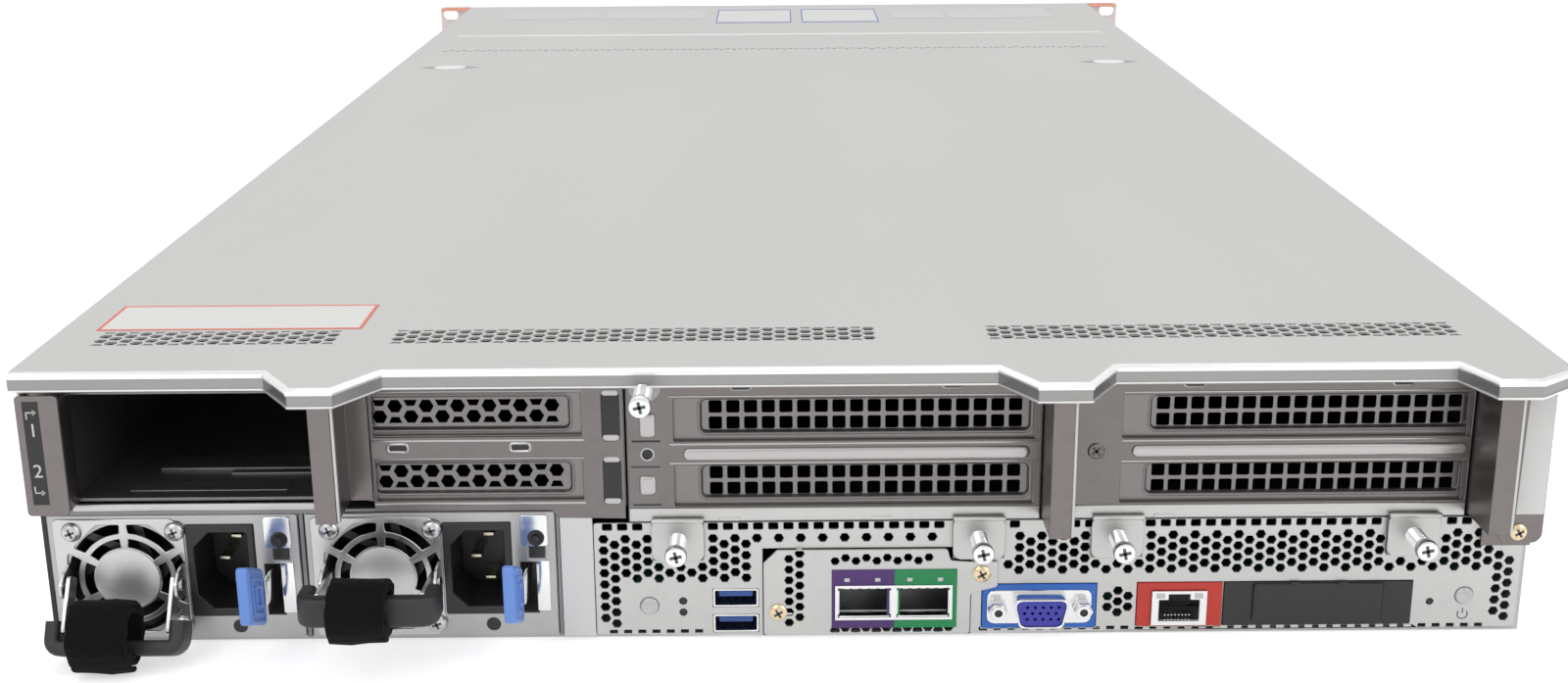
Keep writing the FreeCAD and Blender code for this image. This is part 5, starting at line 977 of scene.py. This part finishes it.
def network_port():
    """The red plate and the socket with its eight contacts and two lights."""
    (x_low, x_high), _, (low, high) = limits("lan_port")
    middle = 115.05
    window = rectangle((106.9, 123.2), (3.2, 14.2))
    plate = Part("network_plate", "red_steel", PLATE_RED, replaced="lan_port")
    plate.sheet(rectangle((x_low, x_high), (low, high)), [window], -0.3, 0.8, 0.1)
    shell = Part("network_shell", "zinc_sheet", CHROME)
    mouth, latch = centred(middle, 12), centred(middle, 6.4)
    opening = [(mouth[0], 4.6), (mouth[1], 4.6), (mouth[1], 11.4), (latch[1], 11.4), (latch[1], 13.2),
               (latch[0], 13.2), (latch[0], 11.4), (mouth[0], 11.4)]
    shell.sheet(window, [opening], -1.2, -0.4, 0.12)
    shell.sheet(rectangle((107.1, 123.0), (3.4, 14.0)), [opening], -0.4, 13, 0.05)
    for k in range(8):
        shell.block(centred(middle - 3.6 + 1.03 * k, 0.45), (1.2, 9), (5.2, 5.6), 0.08)
    inside = Part("network_inside", "black_plastic", BLACK)
    inside.block(mouth, (9, 13), (4.7, 13.1), 0.1)
    lights = Part("network_lights", "light_plastic", LENS)
    for side in (-1, 1):
        lights.block(centred(middle + side * 5.6, 2.6), (-1.35, -0.3), (11.9, 13.6), 0.15)


def blank_plate():
    """The cover of the port that is left out."""
    (x_low, x_high), _, (low, high) = limits("port_blank")
    plate = Part("blank_plate", "black_plastic", BLACK, replaced="port_blank")
    plate.sheet(rectangle((x_low, x_high), (low, high)), [], -0.25, 1, 0.15)
    flap = rounded(rectangle((137, 175.4), (4.2, 16.2)), 0.8)
    plate.sheet(flap, [], -1.0, -0.2, 0.25)
    for x in (149, 163):
        plate.block(centred(x, 3), (-1.2, -0.3), (15.6, 16.6), 0.2)
    for x in (137.2, 175.2):
        plate.block(centred(x, 0.8), (-1.1, -0.2), (4.6, 15.8), 0.2)


def small_lights():
    """Three lights and the caps of two buttons."""
    dots = Part("panel_lights", "black_plastic", BLACK)
    for (x, z), radius in zip(LIGHTS, (1.15, 1.15, 1.05)):
        dome = [(radius, 0.6), (radius, -0.3), (radius * 0.5, -0.7), (0, -0.75)]
        dots.lathe("Y", (x, 0.7, z), dome, 16)
    for body, (x, z) in BUTTONS.items():
        rim = [(0, -0.55), (1.3, -0.55), (1.7, -0.8), (2.2, -0.8), (2.6, -0.4), (2.6, 5)]
        Part(f"{body}_cap", "light_plastic", LENS, body, body).lathe("Y", (x, 0, z), rim, 32)


def power_symbol():
    """The open ring and the bar of the power symbol, under its button."""
    x, z = BUTTONS["rear_power_button"][0], 5.6
    arc = [point for point in disc(x, z, 1.5, 28) if point[1] <= z + 1.1]
    start = max(range(len(arc)), key=lambda k: math.dist(arc[k], arc[k - 1]))
    marks = Part("power_symbol", "zinc_sheet", DARK_INK_AND_SHADE)
    section = rectangle((-0.16, 0.16), (-0.03, 0.03))
    marks.sweep(section, upright(arc[start:] + arc[:start], -0.03), (0, 1, 0))
    marks.block(centred(x, 0.32), (-0.06, 0), (z + 0.3, z + 2.0), 0)


def number(text, x, z, size, y):
    """A plain digit as flat ink on an upright face."""

    def draw(curve):
        curve.body = text
        curve.size = size
        curve.extrude = 0.02
        curve.align_x = curve.align_y = "CENTER"

    upright_there = Matrix.Translation((x, y, z)) @ Matrix.Rotation(math.pi / 2, 4, "X")
    Part(f"slot_number_{text}", "cover_sheet", INK).curve("FONT", upright_there, draw)


def position_labels():
    """The slot numbers with their arrows, and two bare strips."""
    proud = -8.35
    strip = Part("slot_strip", "black_plastic", BLACK_PAPER)
    strip.sheet(rectangle((-214.4, -209.9), (47.5, 78.6)), [], proud - 0.05, proud, 0.02)
    strip.sheet(rectangle((-216.5, -215.2), (3, 41)), [], -0.5, -0.05, 0.05)
    number("1", -212.0, 69.9, 5.6, proud - 0.07)
    number("2", -212.0, 57.6, 5.6, proud - 0.07)
    arrows = Part("slot_arrows", "cover_sheet", INK)
    for z, side in ((75.4, 1), (51.2, -1)):
        arrows.block((-213.6, -213.25), (proud - 0.09, proud - 0.04), sorted((z, z - side * 2)), 0)
        arrows.block((-213.6, -211.0), (proud - 0.09, proud - 0.04), centred(z, 0.35), 0)
        tip = [(-211.6, z + 0.85), (-210.6, z), (-211.6, z - 0.85)]
        arrows.prism(tip, proud - 0.09, proud - 0.04, 0)
    white = Part("bare_label", "cover_sheet", WHITE_PAPER)
    white.sheet(rectangle((-66.4, -57.0), (0.9, 39.3)), [], -0.25, 0, 0.03)


# --- power supplies ---------------------------------------------------------------------------


def psu_front(supply):
    """A supply's rear, measured from its housing's lower left corner."""
    body = f"psu_{supply}"
    (left, right), _, (low, high) = limits(f"{body}_housing")

    def piece(name, slot, material, replaced=None):
        return Part(f"{body}_{name}", slot, material, body, replaced, corner=(left, low))

    x, z = 22, 19.3
    holes = [disc(x, z, 17.2, 48), rectangle((39.9, 59.7), (7.1, 36.1))]
    holes += [rectangle((62, 67.2), (7.2, 23.5)), rectangle((64.6, 69.6), (24.6, 28.6))]
    holes += [disc(53.4, 3.6, 2.1, 20)]
    outline = rounded(rectangle((0.1, right - left - 0.1), (0.1, high - low - 0.1)), 0.8)
    piece("face", "zinc_sheet", SUPPLY).sheet(outline, holes, -0.35, 0.1, 0.1)
    guard = piece("guard", "zinc_sheet", GUARD, f"{body}_fan_guard")
    plate = rounded([(1.6, 0.6), (37.4, 0.6), (39.4, 4.7), (39.4, 33.9), (36, 38), (1.6, 38)], 1.6)
    openings = []
    for start in range(90, 450, 60):
        openings += [guard_opening(x, z, start, 14.3, 17.0, 19.4), ring_gap(x, z, start, 9.9, 12.6)]
    guard.sheet(plate, openings, -0.85, -0.3, 0.15)
    corners = [(x + side_x * 14.9, z + side_z * 14.9) for side_x in (-1, 1) for side_z in (-1, 1)]
    head = [(3.0, 0), (2.9, -0.5), (2.3, -1.2), (1.2, -1.55), (0, -1.6)]
    for u, v in corners:
        guard.lathe("Y", (u, -0.8, v), head, 28)
    ear = rounded([(-0.5, 14.3), (-0.5, 24.7), (-6, 23.7), (-9.2, 21.0), (-9.2, 17.3), (-6, 15.3)], 1.5)
    for side in (-1, 1):
        u = x + side * 16.5
        guard.sheet(ear, [], u - 0.5, u + 0.5, 0.15, "YZ")
        rivet = [(1.9, 0), (1.8, side * 0.5), (1.0, side * 0.9), (0, side)]
        guard.lathe("X", (u + side * 0.5, -5, 19.5), rivet, 20)
    # The screws' cross recesses as dark bars: painted shade.
    piece("screw_drives", "black_plastic", DARK_INK_AND_SHADE).crosses(corners, -2.36, 2.8, 20)
    hub = [(9.4, 0.2), (9.4, -0.5), (9.2, -0.62), (0, -0.62)]
    piece("disc", "zinc_sheet", DISC).lathe("Y", (x, -0.5, z), hub, 48)
    latch = piece("lamp_tab", "zinc_sheet", CHROME)
    tab = rounded(rectangle((62.6, 70.4), (28.6, 38.4)), 1)
    latch.sheet(tab, [disc(67.0, 31.3, 2.3, 20)], -0.9, -0.35, 0.15)
    latch.block((66.8, 70.6), (-0.8, -0.3), (8, 24), 0.2)
    lamp = piece("lamp", "black_plastic", BLACK)
    lens_profile = [(2.3, 0), (2.5, -0.9), (2.2, -1.5), (1.3, -1.3), (1.1, -1.9), (0, -2.3)]
    lamp.lathe("Y", (67.0, -0.2, 31.3), lens_profile, 24)
    lamp.block((64.8, 69.4), (-0.4, 2), (24.8, 28.4), 0.1)
    # A dark disc in the small round hole: painted shade.
    lamp.prism(disc(53.4, 3.6, 2.05, 20), -0.25, -0.12, 0)


def guard_opening(x, z, start, inner, wide, tall):
    """One opening between two spokes: an arc inside, the square frame's edge outside."""
    inside, outside = [], []
    for k in range(9):
        turn = math.radians(start + 5.2 + 49.6 * k / 8)
        inside.append((x + inner * math.cos(turn), z + inner * math.sin(turn)))
        turn = math.radians(start + 3.64 + 52.72 * k / 8)
        cos, sin = math.cos(turn), math.sin(turn)
        frame_edge = min(wide / max(abs(cos), 0.01), (tall - 2.4) / max(abs(sin), 0.01), 19.2)
        reach = max(min(frame_edge, 24.8 / (abs(cos) + abs(sin))), inner + 0.4)
        outside.append((x + reach * cos, z + reach * sin))
    return rounded(inside + outside[::-1], 0.3, 1)


def ring_gap(x, z, start, inner, outer):
    """One arc-shaped slot between the hub disc and the guard's ring."""
    turns = [math.radians(start + 6 + 48 * k / 8) for k in range(9)]
    inside, outside = ([(x + reach * math.cos(t), z + reach * math.sin(t)) for t in turns]
                       for reach in (inner, outer))
    return inside + outside[::-1]


def psu_inlet(supply):
    """The power inlet: a deep mouth with two cut corners and three blades."""
    body = f"psu_{supply}"
    (x_low, x_high), (near, _), (low, high) = limits(f"{body}_inlet")
    middle, height = (x_low + x_high) / 2, (low + high) / 2
    half, tall, corner = 7.75, 12.0, 4.5
    mouth = [(middle - half + corner, height - tall), (middle + half, height - tall),
             (middle + half, height + tall), (middle - half + corner, height + tall),
             (middle - half, height + tall - corner), (middle - half, height - tall + corner)]
    part = Part(f"{body}_inlet_body", "black_plastic", BLACK, body, f"{body}_inlet")
    outline = rounded(rectangle((x_low, x_high), (low, high)), 0.8)
    part.sheet(outline, [rounded(mouth, 0.6, 2)], near, near + 18, 0.3)
    back = rectangle((x_low + 0.5, x_high - 0.5), (low + 0.5, high - 0.5))
    part.prism(back, near + 17.5, near + 22.5, 0)
    pins = Part(f"{body}_pins", "screw_gold", BRASS, body)
    for k in (-1, 0, 1):
        x = middle + (2 if k else -2)
        pins.block(centred(x, 3.2), (near + 9, near + 18), centred(height + 7 * k, 1.1), 0.3)


def psu_lever(supply):
    """The blue paddle: a skewed plate whose right face carries three nested ribs."""
    body = f"psu_{supply}_lever"
    (x_low, x_high), (tip, end), (low, high) = limits(body)
    root = -7
    outline = [(tip, low + 7), (root, low), (root, high - 7), (tip, high)]
    paddle = Part(f"{body}_paddle", "blue_plastic", BLUE, body, body)
    paddle.prism(rounded(outline, 1.6), x_low, x_high - 1.2, 0.7, 3, plane="YZ")
    centre = Vector(((tip + root) / 2, (low + high) / 2))
    for k, grow in enumerate((0.92, 0.66, 0.4)):
        loop, hole = ([tuple(centre.lerp(Vector(p), share)) for p in outline]
                      for share in (grow, grow - 0.12))
        face = x_high - 0.9 + 0.3 * k
        paddle.sheet(rounded(loop, 1.2), [rounded(hole, 1)], x_high - 1.4, face, 0.2, "YZ")
    strip = Part(f"{body}_strip", "zinc_sheet", CHROME, body)
    strip.block((x_high - 0.85, x_high - 0.05), (root - 2, end), (low + 7, high - 10), 0.15)


def psu_handle(supply, drop):
    """The grip: a moulded bar with rounded arms, on two pressed steel legs."""
    body = f"psu_{supply}_handle"
    (left, _), _, (low, _) = limits(f"psu_{supply}_housing")
    pivot = (left + 22, -5, low + 19.5)
    x, y, z = pivot
    grip = Part(f"{body}_grip", "black_plastic", SOFT_BLACK, body, body)
    bar_y = y - 18.1
    path = []
    for side in (-1, 1):
        arm = [(x + side * 17.8, y - 10.4, z), (x + side * 17.8, bar_y + 2.6, z)]
        for k in range(1, 6):
            turn = math.pi / 2 * k / 5
            out, back = 2.6 * math.cos(turn), 2.6 * (1 - math.sin(turn))
            arm.append((x + side * (15.2 + out), bar_y + back, z))
        path += arm if side < 0 else arm[::-1]
    section = rounded([(-2.2, -4.4), (2.2, -4.4), (2.2, 4.4), (-2.2, 4.4)], 1.4, 3)
    grip.sweep(section, path, (0, 0, 1))
    grip.turned("X", pivot, drop)
    legs = Part(f"{body}_legs", "screw_steel", GUARD, body)
    for side in (-1, 1):
        near = x + side * 15.0
        leg = [(y + 2.4, z - 2.6), (y + 2.4, z + 2.6), (y - 14, z + 3.4), (y - 14, z - 3.4)]
        legs.sheet(rounded(leg, 1.2), [], near - 0.6, near + 0.6, 0.15, plane="YZ")
        legs.lathe("X", (x + side * 15.6, y, z), [(1.45, 0), (1.45, side * 1.5), (0, side * 1.5)], 20)
    legs.turned("X", pivot, drop)


def strap(supply):
    """A wide hook-and-loop strap rolled round the grip, with its pile and its loose end."""
    body = f"psu_{supply}_handle"
    _, (y_low, y_high), (z_low, z_high) = limits(f"psu_{supply}_strap")
    middle, half, lift = ((-194.7, 8.4, 1.0), (-120.2, 8.1, 0.5))[supply - 1]
    centre = Vector((middle, (y_low + y_high) / 2, (z_low + z_high) / 2 + lift))
    radius = (z_high - z_low) / 2 - 0.6
    tall = 1.28 if supply == 1 else 1.12
    path = []
    for k in range(97):
        turn = math.radians(200) + k / 96 * 2.15 * 2 * math.pi
        reach = radius * (0.62 + 0.36 * k / 96) * (1 + 0.05 * math.sin(2 * turn + supply))
        away = (reach * math.cos(turn), tall * reach * math.sin(turn))
        path.append((middle, centre.y + away[0], centre.z + away[1]))
    section = rounded([(-0.75, -half), (0.75, -half), (0.75, half), (-0.75, half)], 0.6, 3)
    part = Part(f"psu_{supply}_strap_roll", "strap", STRAP, body, f"psu_{supply}_strap", smooth=180)
    part.sweep(section, path, (1, 0, 0))
    bmesh.ops.subdivide_edges(part.mesh, edges=part.mesh.edges[:], cuts=2, use_grid_fill=True)
    for vertex in part.mesh.verts:
        spot = vertex.co + Vector((0, REAR, 0))
        wave = noise.noise(spot * 0.16) * 0.8 + noise.noise(spot * 1.1) * 0.22
        away = (vertex.co - centre) * Vector((0, 1, 1))
        vertex.co += away.normalized() * min(wave, 0.5)
        spot = vertex.co + Vector((0, REAR, 0))
        vertex.co.x += noise.noise(spot * 0.3 + Vector((9, 0, 0))) * 0.5


# --- the whole scene --------------------------------------------------------------------------


def camera_rays(tree):
    """1 for what the camera sees, also in a reflection or through glass, and otherwise 0."""
    rays = tree.nodes.new("ShaderNodeLightPath")
    value = rays.outputs["Is Camera Ray"]
    for kind in ("Is Glossy Ray", "Is Transmission Ray"):
        either = tree.nodes.new("ShaderNodeMath")
        either.operation = "MAXIMUM"
        tree.links.new(value, either.inputs[0])
        tree.links.new(rays.outputs[kind], either.inputs[1])
        value = either.outputs[0]
    return value


def lighting():
    world = bpy.data.worlds.new("studio")
    bpy.context.scene.world = world
    world.use_nodes = True
    tree = world.node_tree
    back = tree.nodes["Background"]
    back.inputs["Color"].default_value = (1, 1, 1, 1)
    level = tree.nodes.new("ShaderNodeMapRange")
    level.inputs["To Min"].default_value = 0.5
    tree.links.new(camera_rays(tree), level.inputs["Value"])
    tree.links.new(level.outputs["Result"], back.inputs["Strength"])
    lamps = (("key", (-0.9, -1.6, 1.5), 1.2, 9), ("fill", (1.3, -1.3, 0.9), 1.0, 6),
             ("top", (0.0, 0.2, 2.2), 1.8, 12))
    for name, place, size, power in lamps:
        lamp = bpy.data.lights.new(name, "AREA")
        lamp.size = size
        lamp.energy = power
        made = show(name, lamp)
        made.location = place
        made.rotation_euler = (-Vector(place)).to_track_quat("-Z", "Y").to_euler()


def floor():
    finish = layered("floor", (0.93, 0.93, 0.93), 0.7, 0, (3, 2, 0.004, 0, 0))
    finish.shader.inputs["Emission Color"].default_value = (1, 1, 1, 1)
    glow = finish.spread(camera_rays(finish.tree), 0, 0.55)
    finish.link(glow, finish.shader.inputs["Emission Strength"])
    mesh = bpy.data.meshes.new("floor")
    mesh.from_pydata([(-6, -6, 0), (6, -6, 0), (6, 6, 0), (-6, 6, 0)], [], [(0, 1, 2, 3)])
    mesh.materials.append(finish.material)
    made = show("floor", mesh)
    made.location.z = -0.0005


def camera():
    """A view from behind, a little above the rear edge, looking down by 15 degrees."""
    pitch, yaw, roll = 0.2659, 0.0048, -0.0061
    level = math.cos(pitch)
    forward = Vector((math.sin(yaw) * level, math.cos(yaw) * level, -math.sin(pitch)))
    right = Vector((math.cos(yaw), -math.sin(yaw), 0))
    level = Matrix((right, right.cross(forward), -forward)).transposed().to_4x4()
    data = bpy.data.cameras.new("camera")
    data.sensor_width = 36
    data.lens = 40.53
    data.shift_x = -0.0006
    data.shift_y = -0.0578
    data.clip_start = 0.01
    made = show("camera", data)
    place = Matrix.Translation((-0.002787, -0.86474, 0.24780))
    made.matrix_world = place @ level @ Matrix.Rotation(roll, 4, "Z")
    bpy.context.scene.camera = made


bpy.context.scene.view_settings.view_transform = "Standard"
camera()
lighting()
floor()

for finish, *names in (
    (BODY, "chassis_base"),
    (ZINC, "rear_frame", "fan_wall", "drive_cage", "drive_carrier_1", "drive_carrier_2"),
    (CAGE, "riser_cage_1", "riser_cage_2", "riser_cage_3"),
    (SUPPLY, "psu_1_housing", "psu_2_housing"),
    (DARK_ZINC, "psu_bay", "rear_bay_cage"),
    (CHROME, "rail_studs", "ocp_card"),
    (BOARD, "motherboard", "memory_modules", "power_distribution_board", "drive_backplane"),
    (ALUMINIUM, "cpu_heatsinks"),
    (BLACK, "psu_1_fan", "psu_2_fan", "fan_frames", "drive_blanks", "carrier_lever_1",
     "carrier_lever_2", "system_fan_1", "system_fan_2", "system_fan_3", "system_fan_4"),
    (EAR, "front_ears", "ear_trims"),
    (LENS, "front_power_button"),
):
    for name in names:
        nodes[name].data.materials.clear()
        nodes[name].data.materials.append(finish)

for build in (top_cover, front_roof, roof_labels, slot_plates, cage_faces, frame_details, panel_screws,
              thumbscrews, rear_panel, usb_ports, card_bracket, display_port, network_port, blank_plate,
              small_lights, power_symbol, position_labels):
    build()
for supply, drop in ((1, 60), (2, 0)):
    psu_front(supply)
    psu_inlet(supply)
    psu_lever(supply)
    psu_handle(supply, drop)
    strap(supply)
for part in Part.made:
    part.place()
